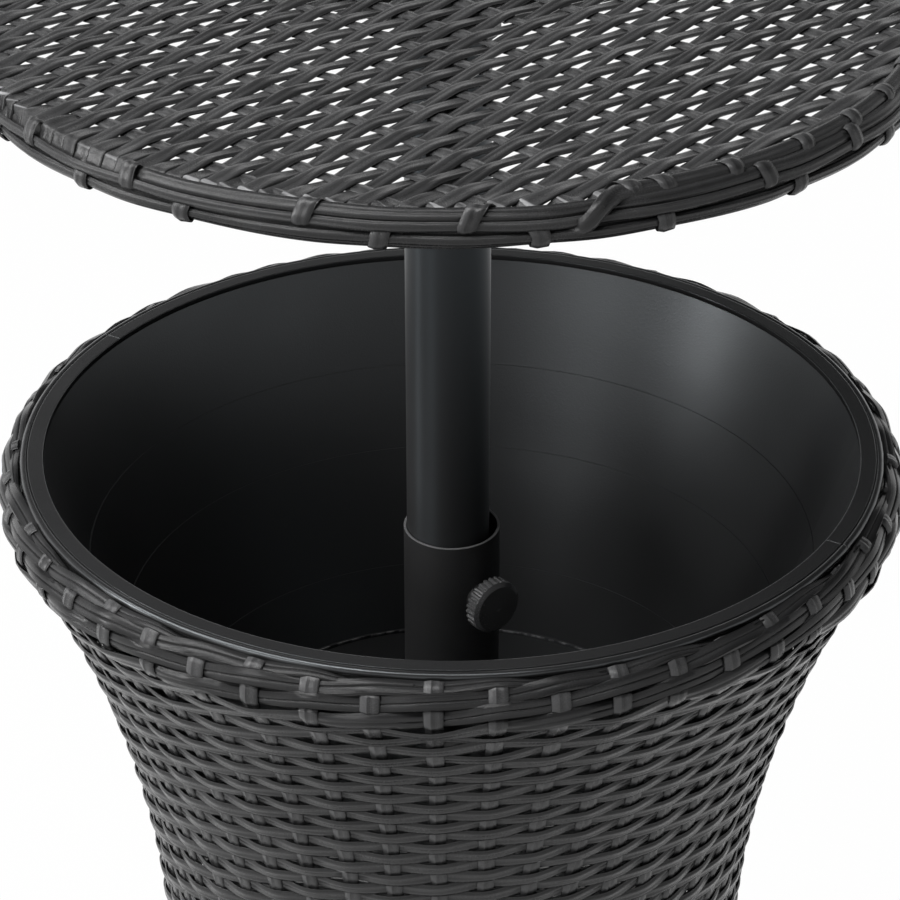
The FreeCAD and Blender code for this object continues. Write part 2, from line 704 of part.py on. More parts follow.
def clamp_knob():
    """A round knob with notched sides, a bevel and a low dome."""
    bore = "screw_radius + push_fit"
    bore_end = "screw_end + fit_gap"
    place = at("knob_back * sin(clamp_angle)", "-(knob_back * cos(clamp_angle))",
               "clamp_level", "clamp_angle", "90")
    body = revolve("clamp_knob", (
        (bore, "0"),
        ("knob_radius", "0"),
        ("knob_radius", "knob_thick - knob_bevel"),
        ("knob_radius - knob_bevel", "knob_thick - knob_dome"),
        ("0", "knob_thick"),
        ("0", bore_end),
        (bore, bore_end),
    ), place)
    notch = new_sketch(body, "XY_Plane")
    floor = "knob_radius - notch_depth"
    mouth = "knob_radius + notch_depth"
    flare = "(2 * notch_mouth - notch_floor) / 2"
    draw(notch, (
        (floor, "-notch_floor / 2"),
        (mouth, "-" + flare),
        (mouth, flare),
        (floor, "notch_floor / 2"),
    ))
    first = cut_away(body, notch, "knob_thick - knob_bevel")
    doc.recompute()
    ring = body.newObject("PartDesign::PolarPattern", "clamp_knob_notches")
    ring.Originals = [first]
    ring.Axis = (notch, ["N_Axis"])
    ring.setExpression("Occurrences", formula("notch_count"))
    body.Tip = ring
    return body


# Drain
DRAIN = at("drain_across", "drain_back")


def drain_fitting():
    """A flanged tube through the bucket floor."""
    return revolve("drain_fitting", (
        ("drain_bore", "drain_under"),
        ("drain_tube", "drain_under"),
        ("drain_tube", "floor_top"),
        ("drain_flange", "floor_top"),
        ("drain_flange", "drain_top"),
        ("drain_bore", "drain_top"),
    ), DRAIN)


def drain_seal():
    return tube("drain_seal", "drain_flange", "drain_tube + push_fit",
                "floor_under - drain_seal_thick", "floor_under", DRAIN)


def drain_nut():
    top = "floor_under - drain_seal_thick"
    blank = prism("drain_nut_blank", "drain_nut_radius", top + " - drain_nut_height", top,
                  "drain_across", "drain_back")
    bore = cylinder("drain_nut_bore", "drain_tube + push_fit", top + " - drain_nut_height", top,
                    "drain_across", "drain_back")
    return cut("drain_nut", blank, bore)


def drain_plug():
    """The stopper that is pulled up out of the drain."""
    head_under = "drain_top + fit_gap"
    head_top = head_under + " + plug_head_thick"
    return revolve("drain_plug", (
        ("0", "drain_top - plug_reach"),
        ("drain_bore - fit_gap", "drain_top - plug_reach"),
        ("drain_bore - fit_gap", head_under),
        ("plug_head", head_under),
        ("plug_head", head_top),
        ("plug_grip_radius", head_top),
        ("plug_grip_radius", head_top + " + plug_grip_height"),
        ("0", head_top + " + plug_grip_height"),
    ), DRAIN)


# Post and table top
TABLE = at("-post_lean")


def post_foot_plug():
    """Closes the foot of the post."""
    return revolve("post_foot_plug", (
        ("0", "post_bottom - fit_gap - foot_plug_head"),
        ("post_radius", "post_bottom - fit_gap - foot_plug_head"),
        ("post_radius", "post_bottom - fit_gap"),
        ("post_inner - push_fit", "post_bottom - fit_gap"),
        ("post_inner - push_fit", "post_bottom + foot_plug_reach"),
        ("0", "post_bottom + foot_plug_reach"),
    ), TABLE)


def post_insert():
    """The threaded insert that the hub plate is bolted to."""
    body = disc("post_insert", "post_inner - push_fit", "hub_under - insert_height", "hub_under", TABLE)
    drill(body, bolt_circle("mount_circle"), "bolt_radius + push_fit",
          "hub_under - insert_height", "hub_under")
    return body


def hub_plate():
    body = disc("hub_plate", "hub_radius", "hub_under", "hub_top", TABLE)
    drill(body, bolt_circle("mount_circle"), "bolt_hole", "hub_under", "hub_top")
    return body


def hub_bolts():
    """Four pan-head bolts through the hub plate into the post's insert."""
    bolts = []
    for index, (across, back) in enumerate(bolt_circle("mount_circle"), start=1):
        across = "%s - post_lean" % across
        shank = cylinder("hub_shank_%d" % index, "bolt_radius", "hub_under - insert_height",
                         "hub_top", across, back)
        head = cylinder("hub_head_%d" % index, "pan_head", "hub_top", "hub_top + pan_height",
                        across, back)
        bolts.append(fuse("hub_bolt_%d" % index, shank, head))
    return group("hub_bolts", bolts)


def table_arm(name, turn):
    """A flat bar from the hub plate to the frame ring."""
    body = new_body(name, at("-post_lean", turn=turn))
    start = "hub_radius + fit_gap"
    end = "ring_radius - ring_tube / 2 - fit_gap"
    sketch = new_sketch(body, "XY_Plane", "hub_under")
    draw(sketch, (
        (start, "-arm_width / 2"),
        (end, "-arm_width / 2"),
        (end, "arm_width / 2"),
        (start, "arm_width / 2"),
    ))
    extrude(body, sketch, "arm_thick")
    return body


def top_weave():
    """The woven field of the table top: a disc with a grid of openings along its rows, closed over
    the hub and at the edge."""
    field = disc("field_disc", "field_radius", "top_weave_under", "table_top", TABLE)
    count = int(value("gap_grid"))
    gaps = []
    for number in range(count**2):
        column = number % count + 0.5 - count / 2
        row = number // count + 0.5 - count / 2
        at_edge = (abs(column) + 0.3)**2 + (abs(row) + 0.15)**2 > (count / 2 - 0.15)**2
        over_hub = max(abs(column), abs(row)) < 1
        if at_edge or over_hub:
            continue
        along = "(%g * gap_pitch - gap_length / 2)" % column
        over = "(%g * gap_pitch - gap_width / 2)" % row
        gap = doc.addObject("Part::Box", "field_gap_%d" % number)
        gap.setExpression("Length", formula("gap_length"))
        gap.setExpression("Width", formula("gap_width"))
        gap.setExpression("Height", formula("top_weave_thick"))
        gap.setExpression("Placement", at(
            "%s * cos(field_turn) - %s * sin(field_turn) - post_lean" % (along, over),
            "%s * sin(field_turn) + %s * cos(field_turn)" % (along, over),
            "top_weave_under", "field_turn"))
        gaps.append(gap)
    return cut("top_weave", field, group("field_gaps", gaps))


def table_edge():
    """The woven wrap round the frame ring, open towards the middle."""
    shoulder = "table_radius - edge_round"
    return revolve("table_edge", (
        ("wrap_inner", "top_weave_under"),
        ("ring_radius", "top_weave_under", "right", "ring_hollow"),
        ("ring_radius + ring_hollow", "ring_level", "right", "ring_hollow"),
        ("ring_radius", "ring_level - ring_hollow"),
        ("ring_radius", "table_bottom"),
        (shoulder, "table_bottom", "left", "edge_round"),
        ("table_radius", "table_bottom + edge_round"),
        ("table_radius", "table_top - edge_round", "left", "edge_round"),
        (shoulder, "table_top"),
        ("wrap_inner", "table_top"),
    ), TABLE)


# The assembly
nodes = [
    rim_trim("rim_trim_back", "seam_angle - 90"),
    rim_trim("rim_trim_front", "seam_angle + 90"),
    bucket_liner(),
    border("rim_border", "border_inner", "border_edge", "border_bend", "border_bottom", "border_top"),
    body_weave(),
    border("foot_border", "foot_inner", "foot_border_edge", "foot_border_bend", "glide_height",
           "foot_border_top"),
    hoop("top_hoop", "hoop_radius", "hoop_rod", "hoop_level"),
    hoop("waist_hoop", side("waist_height", "frame_inset") + " - hoop_rod / 2", "hoop_rod",
         "waist_height"),
    hoop("foot_ring", "foot_ring_radius", "foot_tube", "foot_ring_level", wall="tube_wall"),
    support_plate(),
    support_cross(),
    lower_cross(),
    post_sleeve(),
    sleeve_flange(),
    flange_gasket(),
    flange_bolts(),
    flange_nuts(),
    disc("sleeve_bumper", "sleeve_inner - fit_gap", "sleeve_bottom", "sleeve_bottom + bumper_thick"),
    clamp_boss(),
    clamp_screw(),
    clamp_knob(),
    drain_fitting(),
    drain_seal(),
    drain_nut(),
    drain_plug(),
    tube("lift_post", "post_radius", "post_inner", "post_bottom", "hub_under", TABLE),
    post_foot_plug(),
    post_insert(),
    hub_plate(),
    hub_bolts(),
    hoop("table_ring", "ring_radius", "ring_tube", "ring_level", TABLE, "tube_wall"),
    top_weave(),
    table_edge(),
]
for number in range(int(value("upright_count"))):
    nodes.append(upright("upright_%d" % (number + 1), "%d * 360 / upright_count" % number))
for number in range(int(value("glide_count"))):
    turn = "(glide_start + %d * 360 / glide_count)" % number
    nodes.append(foot_glide("foot_glide_%d" % (number + 1), turn))
for number, name in enumerate(("front", "right", "left")):
    nodes.append(table_arm("table_arm_" + name, "120 * %d - 90" % number))
doc.recompute()

# Checks before writing
for item in doc.Objects:
    if "Invalid" in item.State or "Error" in item.State:
        raise RuntimeError("%s did not build: %s" % (item.Label, item.State))
for node in nodes:
    if node.Shape.isNull() or not node.Shape.isValid() or not node.Shape.Solids:
        raise RuntimeError("%s has no valid solid" % node.Label)

os.makedirs("parts", exist_ok=True)
for node in nodes:
    node.Shape.exportStep(os.path.join("parts", node.Label + ".step"))
    box = node.Shape.BoundBox
    print("%-16s %2d %10.1f mm3  x %7.1f %7.1f  y %7.1f %7.1f  z %6.1f %6.1f" % (
        node.Label, len(node.Shape.Solids), node.Shape.Volume,
        box.XMin, box.XMax, box.YMin, box.YMax, box.ZMin, box.ZMax))
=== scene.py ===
import json
import math

import bpy
import numpy as np
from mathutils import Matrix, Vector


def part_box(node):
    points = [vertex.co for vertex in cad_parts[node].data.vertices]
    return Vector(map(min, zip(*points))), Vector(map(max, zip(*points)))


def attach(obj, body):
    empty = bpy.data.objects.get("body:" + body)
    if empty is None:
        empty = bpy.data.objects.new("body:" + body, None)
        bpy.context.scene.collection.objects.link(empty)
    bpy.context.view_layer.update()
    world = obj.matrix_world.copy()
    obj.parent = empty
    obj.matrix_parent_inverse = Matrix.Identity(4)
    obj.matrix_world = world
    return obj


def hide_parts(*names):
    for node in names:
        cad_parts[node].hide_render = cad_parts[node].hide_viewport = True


# Looks of the cooler table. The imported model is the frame, in metres; the lengths below are in
# millimetres, with +Z up and the photograph taken from -Y. Turns are degrees about Z, from the front.

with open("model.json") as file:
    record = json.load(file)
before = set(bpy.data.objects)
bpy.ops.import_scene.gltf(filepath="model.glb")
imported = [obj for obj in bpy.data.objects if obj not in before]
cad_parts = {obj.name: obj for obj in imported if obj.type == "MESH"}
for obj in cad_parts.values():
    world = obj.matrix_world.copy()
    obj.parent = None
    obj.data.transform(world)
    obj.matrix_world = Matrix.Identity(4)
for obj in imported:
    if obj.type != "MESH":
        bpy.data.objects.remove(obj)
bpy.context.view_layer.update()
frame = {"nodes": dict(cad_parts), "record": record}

MM = 0.001
WHITE = (1, 1, 1, 1)
random = np.random.default_rng(11)

# Uneven hand work is given as (amount, reach): see slow_waves.

# Woven tub: 50 stakes, and 16 weavers that climb round it side by side
STAKES = 50
WEAVERS = 16
CLIMB = WEAVERS / STAKES
FIRST_STAKE = -2.0
RIM_LEVEL = 540.0
WAIST_LEVEL = 196.5
WAIST_RADIUS = 175.0
SIDE_ARC = 709.3
SKIN = 6.0
# Radius and level where the weave rolls over the trim's skirt, then levels on the side curve, with how
# far the weave stands out from the curve there
ROLLED_TOP = [(241.2, 536.2), (242.6, 535.6), (245.6, 534.2), (248.6, 530.4), (250.4, 524.5), (250.6, 518),
              (249.4, 511.5)]
SIDE_LEVELS = ((500, 0.7), (490, 0), (470, 0), (440, 0), (400, 0), (350, 0), (300, 0), (250, 0), (200, 0),
               (150, 0), (100, 0), (60, 0), (40, 0), (30, 0.6), (20, 1.2), (11, 0.4))
PROFILE_STEP = 1.0

# Levels of some rows at the first stake, below the rim, from the top down; even steps follow them
ROW_LEVELS = ((1, -4.9), (2, -10.2), (3, -19.2), (5, -39.2), (7, -59.1), (9, -74.9), (11, -91.4),
              (13, -108.3))
ROW_PITCH = 9.15
# Rows of the doubled borders at rim and foot, and rows over which they change to the plain wall
BORDER_START = 0.1
TOP_BAND = 3.9
FOOT_ROWS = 3.6
BAND_CHANGE = 0.8

# Weavers: how far they swing out and in, less in the borders, and how far they sway down and up
WEAVER_WIDTH = 9.3
WEAVER_THICK = 2.0
WEAVER_SWING = 1.65
BORDER_SWING_LOSS = 0.15
SWAY = 0.4
SWAY_ROW, SWAY_MORE = 3.0, 1.1
WIDE_ROW, WIDE_MORE = 4.2, 1.4
BUNDLE_WIDTH = 9.0
BUNDLE_THICK = 4.2
TAPERED_WIDTH = 0.15
TAPERED_THICK = 0.3
# Degrees that a weaver leans in the borders, and with its swing in the wall
LEAN_BORDER, LEAN_SWING = 4, 5
# Uneven lift, depth, width and lean, with the reach in stakes
WEAVER_LIFT_UNEVEN = (0.12, 4)
WEAVER_DEPTH_UNEVEN = (0.25, 5)
WEAVER_WIDTH_UNEVEN = (0.25, 12)
WEAVER_LEAN_UNEVEN = (4, 6)

# Tub stakes: swing in the wall and in the borders, where they bend sharply behind and over the bundles
STAKE_WIDTH = 9.3
STAKE_THICK = 1.9
STAKE_SWING = 0.35
BORDER_STAKE_WIDER = 0.8
BORDER_STAKE_SWING = 1.75
BORDER_STAKE_BEND = 3.5
BORDER_STAKE_OVER = 0.25
STAKE_TURN_UNEVEN = (0.1, 90)
# Where down the profile they start, how far they go past the last row, and their stations' steps
STAKE_TOP = 1.0
STAKE_PAST = 2
BORDER_STEP = 0.9
WALL_STEP = 3.2

# Strand behind the border's first rows, along the trim's skirt
LINING_RADIUS = 242.0
LINING_LEVEL = 523
LINING_WIDTH = 24.0
LINING_THICK = 1.0
LINING_STEP = 3.0

# Table top: straight weave across a disc, turned from the front, whose rows and stakes bend down at its edge
TOP_LEVEL = 796.5
TOP_MIDDLE = 793.6
TOP_ACROSS = -2.15
TOP_TURN = 47.25
ROW_START = -3.1
ROW_STEP = 9.32
TOP_STAKES = (-246.5, -218.5, -191, -163.5, -135.5, -106.5, -77.5, -49.5, -21, 11, 43.5, 73, 101, 129.5,
              158.5, 186.5, 214.5, 242.5)
FIRST_STAKE_NUMBER = -6.0
EDGE_START = 242.0
EDGE_BEND = 1.7
FOLDED_DOWN = 7
LEAN_OUT = 0.45
FIELD_REACH = EDGE_START + EDGE_BEND * math.pi / 2 + FOLDED_DOWN
# Lines that run along the edge end sooner and are bent down farther in, lying flat; a line reaches at
# least this far to each side of its middle
SIDE_SHORTER = 4.5
SIDE_INSET = 3.2
SIDE_POWER = 6
SHORTEST_LINE = 10
FLAT_FROM, FLAT_OVER = 0.5, 0.35
# Lines nearer to the edge than this carry no strand
ROW_CLEAR = 4
STAKE_CLEAR = 6
# The swing dies down towards the edge, to its least share
CALM_PAST, CALM_OVER, CALM_LEAST = 5, 24, 0.25
TOP_ROW_WIDTH = 8.55
TOP_ROW_THICK = 2.0
TOP_ROW_SWING = 1.5
TOP_ROW_STATIONS = 150
TOP_ROW_UNEVEN = (0.25, 60)
TOP_STAKE_WIDTH = 9.6
TOP_STAKE_THICK = 1.4
TOP_STAKE_SWING = -0.35
TOP_STAKE_STATIONS = 240
TOP_STAKE_UNEVEN = (0.2, 60)
TOP_LEAN_UNEVEN = (5, 70)
# Rows are narrower towards the front left, and wider and flatter past a reach
ROW_NARROWER = 0.35
ROW_WIDER = 0.9
ROW_WIDTH_UNEVEN = (0.15, 120)
WIDER_FROM, WIDER_OVER = 216, 20
# Painted highlight where a row is folded: added tone, and the bend's middle and spread in radians
FOLD_HIGHLIGHT_TONE, FOLD_HIGHLIGHT_MIDDLE, FOLD_HIGHLIGHT_SPREAD = 3.5, 0.55, 0.35
# How strongly stations are drawn towards both ends of a strand
MORE_AT_ENDS = 0.38

# Table edge: turns at which strands are bound over it, in turn over its upper and its lower bundle; those
# that the photograph shows, then even steps behind
EVEN_STEPS = 34
SEEN_STAKES = [-52.5, -43.2, -36.3, -29, -15.2, -7.1, 1.9, 9.6, 16, 23.5, 36.5, 41, 50.6]
EDGE_STAKES = np.concatenate([
    SEEN_STAKES, np.linspace(SEEN_STAKES[-1], SEEN_STAKES[0] + 360, EVEN_STEPS + 1)[1:-1]])
# Turns at which stakes are bound over the outermost row, where the rows run along the edge
ROW_STAKES = np.array([20.3, 24.2, 32.9, 43.5, 52.5, 60.9, 69.5, 77.0])
EDGE_ROWS = (
    # level below the top, radius of the middle, roll in degrees, width, row of the bundle, tucked in or not
    (-4.4, 246.9, -40, 6.6, 0, 1),
    (-9.5, 249.9, -8, 5.2, 0, 0),
    (-15.8, 250.1, 2, 4.8, 1, 0),
    (-18.9, 247.8, 40, 5.2, 1, 0),
    (-5.3, 243.6, -75, 5.0, 0, 1),
    (-13.2, 247.7, 0, 7.0, 1, 0),
)
EDGE_THICK = 2.5
EDGE_SWING = 0.6
# Uneven radius, level and roll, with the reach in degrees
EDGE_RADIUS_UNEVEN = (0.15, 40)
EDGE_LEVEL_UNEVEN = (0.3, 50)
EDGE_ROLL_UNEVEN = (5, 45)
# The uppermost two rings start at the front left, and before that lie tucked in and down behind the folded
# rows: over these many degrees, drawn in within the first of these degrees and out again within the last
UPPER_START = -35.0
TUCK_LONG, TUCK_FIRST, TUCK_LAST = 60, 0.8, 6
TUCK_IN, TUCK_DOWN = 4.6, 3

# Strands bound over the edge: radius and level of points over the upper bundle, the lower one and the
# outermost row
OVER_UPPER = [(241.6, 790), (242.8, 793), (244.8, 795.6), (247.4, 795.2), (249.8, 792), (251.3, 787.6),
              (250.3, 784.4), (247.6, 783.6), (245.4, 780), (241, 777.6), (236.5, 779), (233.5, 784),
              (233, 788)]
OVER_LOWER = [(244.5, 790), (247.4, 786.6), (250.3, 785.4), (251.8, 782.2), (251.2, 778.4), (249, 775.5),
              (246.6, 775.2), (243.6, 777.8), (239.6, 780.2), (234.5, 783.8), (233, 788)]
OVER_ROW = [(235.4, 791), (235.4, 794.4), (236.6, 797.2), (239.4, 798.6), (242.8, 798.3), (245.6, 796.2),
            (246.2, 793), (244.6, 790.6)]
WRAP_WIDTH = 8.8
WRAP_THICK = 1.6
WRAP_STEP = 1.4
WRAP_RADIUS = 250
WRAP_TURN_UNEVEN = (0.12, 30)
# A wrap leans this much for each step at most: fully up to a reach before its widest point, by half from
# there to that point, and no more after it
LEAN_MOST = 0.9
LEAN_REACH = 8

# Outermost row on each side: turn from its middle, radius and level of points from one end to its middle
OUTER_HALF = [(-34, 246.5, 783.4), (-33.3, 251.2, 784.6), (-32.4, 252.6, 788.4), (-31.2, 250.8, 793),
              (-29.8, 247, 795.5), (-27.4, 243, 795.8), (-17, 241, 795.4), (-8, 240.6, 795.4)]
OUTER_WIDTH = 8.6
OUTER_THICK = 3.8
OUTER_STEP = 1.6
MM_PER_DEGREE = 4.3
# How steeply the outermost row faces up, in degrees, by its radius
OUTER_RADII, OUTER_STEEP = [241, 247, 252.8], [78, 45, 4]
# Upper wraps this near to an end of an outermost row are left out
OUTER_END = 31.5  # degrees from its middle
OUTER_CLEAR = 3.3

# Outlines of strands, (across, out) in halves of width and thickness, anticlockwise
WEAVER_OUTLINE = ((1, -0.1), (0.88, 0.6), (0.5, 0.92), (0, 1), (-0.5, 0.92), (-0.88, 0.6), (-1, -0.1),
                  (-0.8, -0.9), (0.8, -0.9))
# Two strands side by side, as wide and thick as one, with a crease between them
BUNDLE_OUTLINE = ((1, -0.25), (0.88, 0.6), (0.22, 0.92), (0.04, 0.7), (-0.14, 1), (-0.88, 0.62), (-1, -0.25),
                  (-0.7, -0.9), (0.7, -0.9))
ROW_OUTLINE = ((1, -0.2), (0.94, 0.5), (0.55, 0.95), (0, 1), (-0.55, 0.95), (-0.94, 0.5), (-1, -0.2),
               (-0.85, -0.9), (0.85, -0.9))
FLAT_OUTLINE = ((1, -0.2), (0.99, 0.85), (0.85, 1), (0, 1.02), (-0.85, 1), (-0.99, 0.85), (-1, -0.2),
                (-0.85, -0.9), (0.85, -0.9))
STAKE_OUTLINE = ((1, -0.4), (0.92, 0.3), (0.4, 0.6), (-0.25, 1), (-0.93, -0.2), (-1, -0.5), (-0.85, -0.9),
                 (0.85, -0.9))
# Metres by which the grain of one strand may be shifted along it from another's
GRAIN_SHIFT = 40


def unit(vectors):
    """Vectors divided by their lengths."""
    return vectors / np.maximum(np.linalg.norm(vectors, axis=-1, keepdims=True), 1e-9)


def path_length(points):
    """Length from the first point of a path to each of its points."""
    return np.concatenate([[0], np.cumsum(np.linalg.norm(np.diff(points, axis=0), axis=1))])


def slow_waves(rows, along, uneven, waves=4):
    """Uneven hand work, as (amount, reach): for each row a sum of sines along a coordinate, with random
    phases and wavelengths of half to 1.6 times the reach, scaled to lie mostly within the amount."""
    amount, reach = uneven
    result = np.zeros((rows, np.shape(along)[-1]))
    for index in range(waves):
        length = reach * random.uniform(0.5, 1.6, (rows, 1))
        phase = random.uniform(0, 2 * math.pi, (rows, 1))
        result += np.sin(2 * math.pi * along / length + phase)
    return amount * (result / math.sqrt(waves))


def curve_through(points, step):
    """A smooth curve through points: on each stretch the cubic whose slope at a point is half the step
    between that point's neighbours. Returned as points about one step apart."""
    points = np.asarray(points, float)
    padded = np.vstack([2 * points[0] - points[1], points, 2 * points[-1] - points[-2]])
    pieces = []
    for index in range(1, len(padded) - 2):
        a, b, c, d = padded[index - 1:index + 3]
        count = max(2, int(np.linalg.norm(c - b) / step))
        t = (np.arange(count) / count)[:, None]
        pieces.append(0.5 * (2 * b + (c - a) * t + (2 * a - 5 * b + 4 * c - d) * t**2
                             + (3 * b - a - 3 * c + d) * t**3))
    pieces.append(points[-1:])
    return np.vstack(pieces)


def new_mesh(name, points, quads, caps, grain, tone, crease):
    """A mesh from whole arrays: points in millimetres, four-sided faces, many-sided end faces, the
    faces' grain coordinates (metres along, share round) and a tone for each point. Edges that bend by
    more than crease degrees look sharp."""
    mesh = bpy.data.meshes.new(name)
    quads = np.asarray(quads).reshape(-1, 4)
    caps = np.asarray(caps, int)
    corner_count = quads.size + caps.size
    sides = np.concatenate([np.full(len(quads), 4), np.full(len(caps), caps.shape[1] if caps.size else 0)])
    starts = np.concatenate([[0], np.cumsum(sides)[:-1]])
    mesh.vertices.add(len(points))
    mesh.vertices.foreach_set("co", (points * MM).astype(np.float32).ravel())
    mesh.loops.add(corner_count)
    mesh.loops.foreach_set("vertex_index", np.concatenate([quads.ravel(), caps.ravel()]).astype(np.int32))
    mesh.polygons.add(len(sides))
    mesh.polygons.foreach_set("loop_start", starts.astype(np.int32))
    mesh.polygons.foreach_set("use_smooth", np.ones(len(sides), bool))
    layer = mesh.uv_layers.new(name="grain")
    layer.data.foreach_set("uv", grain.astype(np.float32).ravel())
    tones = mesh.attributes.new("tone", "FLOAT", "POINT")
    tones.data.foreach_set("value", tone.astype(np.float32).ravel())
    mesh.update(calc_edges=True)
    mesh.set_sharp_from_angle(angle=math.radians(crease))
    piece = bpy.data.objects.new(name, mesh)
    bpy.context.scene.collection.objects.link(piece)
    return piece


def lay_strands(name, centre, out, width, thick, outline, roll=0.0, tone=None, closed=False, crease=60):
    """Strands as one mesh. Each point is the strand's centre line, plus its across direction times half
    the width and its out direction times half the thickness, both scaled by the outline's point. centre
    and out are arrays (strand, station, xyz); the across direction is out crossed with the way along. The
    outline may differ from station to station."""
    count, stations = centre.shape[:2]
    if closed:
        way = unit(np.roll(centre, -1, axis=1) - np.roll(centre, 1, axis=1))
    else:
        way = unit(np.gradient(centre, axis=1))
    out = unit(out - (out * way).sum(-1, keepdims=True) * way)
    across = np.cross(out, way)
    roll = np.broadcast_to(roll, (count, stations))[..., None]
    across, out = across * np.cos(roll) + out * np.sin(roll), out * np.cos(roll) - across * np.sin(roll)
    half_width = np.broadcast_to(width, (count, stations))[..., None, None] / 2
    half_thick = np.broadcast_to(thick, (count, stations))[..., None, None] / 2
    shape = np.asarray(outline, float)
    sides = shape.shape[-2]
    points = (centre[:, :, None, :] + across[:, :, None, :] * half_width * shape[..., :1]
              + out[:, :, None, :] * half_thick * shape[..., 1:])
    steps = np.linalg.norm(np.diff(centre, axis=1), axis=-1)
    length = np.concatenate([np.zeros((count, 1)), np.cumsum(steps, axis=1)], axis=1) * MM
    index = np.arange(count * stations * sides).reshape(count, stations, sides)
    here, there = (index, np.roll(index, -1, axis=1)) if closed else (index[:, :-1], index[:, 1:])
    quads = np.stack([here, np.roll(here, -1, axis=2), np.roll(there, -1, axis=2), there], -1)
    rows = here.shape[1]
    start = length[:, :rows]
    end = np.concatenate([length[:, 1:], length[:, -1:] + steps[:, -1:] * MM], axis=1)[:, :rows]
    share = np.arange(sides) / sides
    shift = random.uniform(0, GRAIN_SHIFT, (count, 1, 1))
    grain = np.zeros((count, rows, sides, 4, 2))
    grain[..., 0, 0] = grain[..., 1, 0] = start[..., None] + shift
    grain[..., 2, 0] = grain[..., 3, 0] = end[..., None] + shift
    grain[..., 0, 1] = grain[..., 3, 1] = share
    grain[..., 1, 1] = grain[..., 2, 1] = share + 1 / sides
    grain = grain.reshape(-1, 2)
    caps = np.zeros((0, sides), int)
    if not closed:
        caps = np.concatenate([index[:, 0, ::-1], index[:, -1, :]])
        grain = np.vstack([grain, np.zeros((caps.size, 2))])
    if tone is None:
        tone = random.uniform(-1, 1, (count, 1))
    tones = np.broadcast_to(np.broadcast_to(tone, (count, stations))[..., None], (count, stations, sides))
    return new_mesh(name, points.reshape(-1, 3), quads, caps, grain, tones, crease)


# Tub
def side_radius(level):
    """Middle of the woven skin: an arc about a centre outside the tub."""
    return WAIST_RADIUS - SKIN / 2 + SIDE_ARC - np.sqrt(SIDE_ARC**2 - (level - WAIST_LEVEL)**2)


TUB_PROFILE = curve_through(ROLLED_TOP + [(side_radius(level) + past, level) for level, past in SIDE_LEVELS],
                            PROFILE_STEP)
PROFILE_LENGTH = path_length(TUB_PROFILE)
PROFILE_WAY = unit(np.gradient(TUB_PROFILE, axis=0))


def tub_point(turn, depth, lift):
    """A point of the tub's skin: on the profile at a length from the top, lifted out along the
    profile's normal, and turned about Z by degrees from the front. Returns the point and the normal."""
    radius = np.interp(depth, PROFILE_LENGTH, TUB_PROFILE[:, 0])
    level = np.interp(depth, PROFILE_LENGTH, TUB_PROFILE[:, 1])
    way_radius = np.interp(depth, PROFILE_LENGTH, PROFILE_WAY[:, 0])
    way_level = np.interp(depth, PROFILE_LENGTH, PROFILE_WAY[:, 1])
    normal_radius, normal_level = -way_level, way_radius
    radius = radius + lift * normal_radius
    level = level + lift * normal_level
    angle, radius, level, normal_radius, normal_level = np.broadcast_arrays(
        np.radians(turn), radius, level, normal_radius, normal_level)
    point = np.stack([radius * np.sin(angle), -radius * np.cos(angle), level], -1)
    normal = np.stack([normal_radius * np.sin(angle), -normal_radius * np.cos(angle), normal_level], -1)
    return point, normal


# Length down the profile for each row: from the levels near the rim, then in even steps
ROW_NUMBERS = [row for row, level in ROW_LEVELS]
ROW_DEPTHS = [float(np.interp(-(RIM_LEVEL + level), -TUB_PROFILE[:, 1], PROFILE_LENGTH))
              for row, level in ROW_LEVELS]
LAST_ROW = int(ROW_NUMBERS[-1] + (PROFILE_LENGTH[-1] - ROW_DEPTHS[-1]) / ROW_PITCH)
ROW_DEPTHS.append(ROW_DEPTHS[-1] + ROW_PITCH * (LAST_ROW - ROW_NUMBERS[-1]))
ROW_NUMBERS.append(LAST_ROW)
FOOT_BAND = LAST_ROW - FOOT_ROWS


def row_depth(row):
    """Length down the profile at a row number, whole or not."""
    return np.interp(row, ROW_NUMBERS, ROW_DEPTHS)


def band_share(row):
    """1 in the doubled borders at rim and foot, 0 between them, with a smooth change."""
    rim = np.clip((TOP_BAND - row) / BAND_CHANGE, 0, 1)
    foot = np.clip((row - FOOT_BAND) / BAND_CHANGE, 0, 1)
    share = np.maximum(rim, foot)
    return share * share * (3 - 2 * share)


def at_row(row, middle):
    """1 at a row number, falling evenly to 0 one row above and below it."""
    return np.clip(1 - np.abs(row - middle), 0, 1)


def in_and_out(phase):
    """Height of a weaver between -1 and 1: a cosine with a twentieth of its third harmonic, so that it
    bends at the stakes and runs straighter between them."""
    return (np.cos(math.pi * phase) + 0.05 * np.cos(3 * math.pi * phase)) / 1.05


def behind_stake(number, row):
    """The row number nearest to row at which weaver number passes behind a stake."""
    passed = 2 * np.round(((number - row) / CLIMB - 1 + number) / 2) + 1 - number
    return number - CLIMB * passed


def mixed_outline(share, first, second):
    """An outline for each station: the first one less the share, plus the share of the second."""
    mix = share[..., None, None]
    return np.array(first) * (1 - mix) + np.array(second) * mix


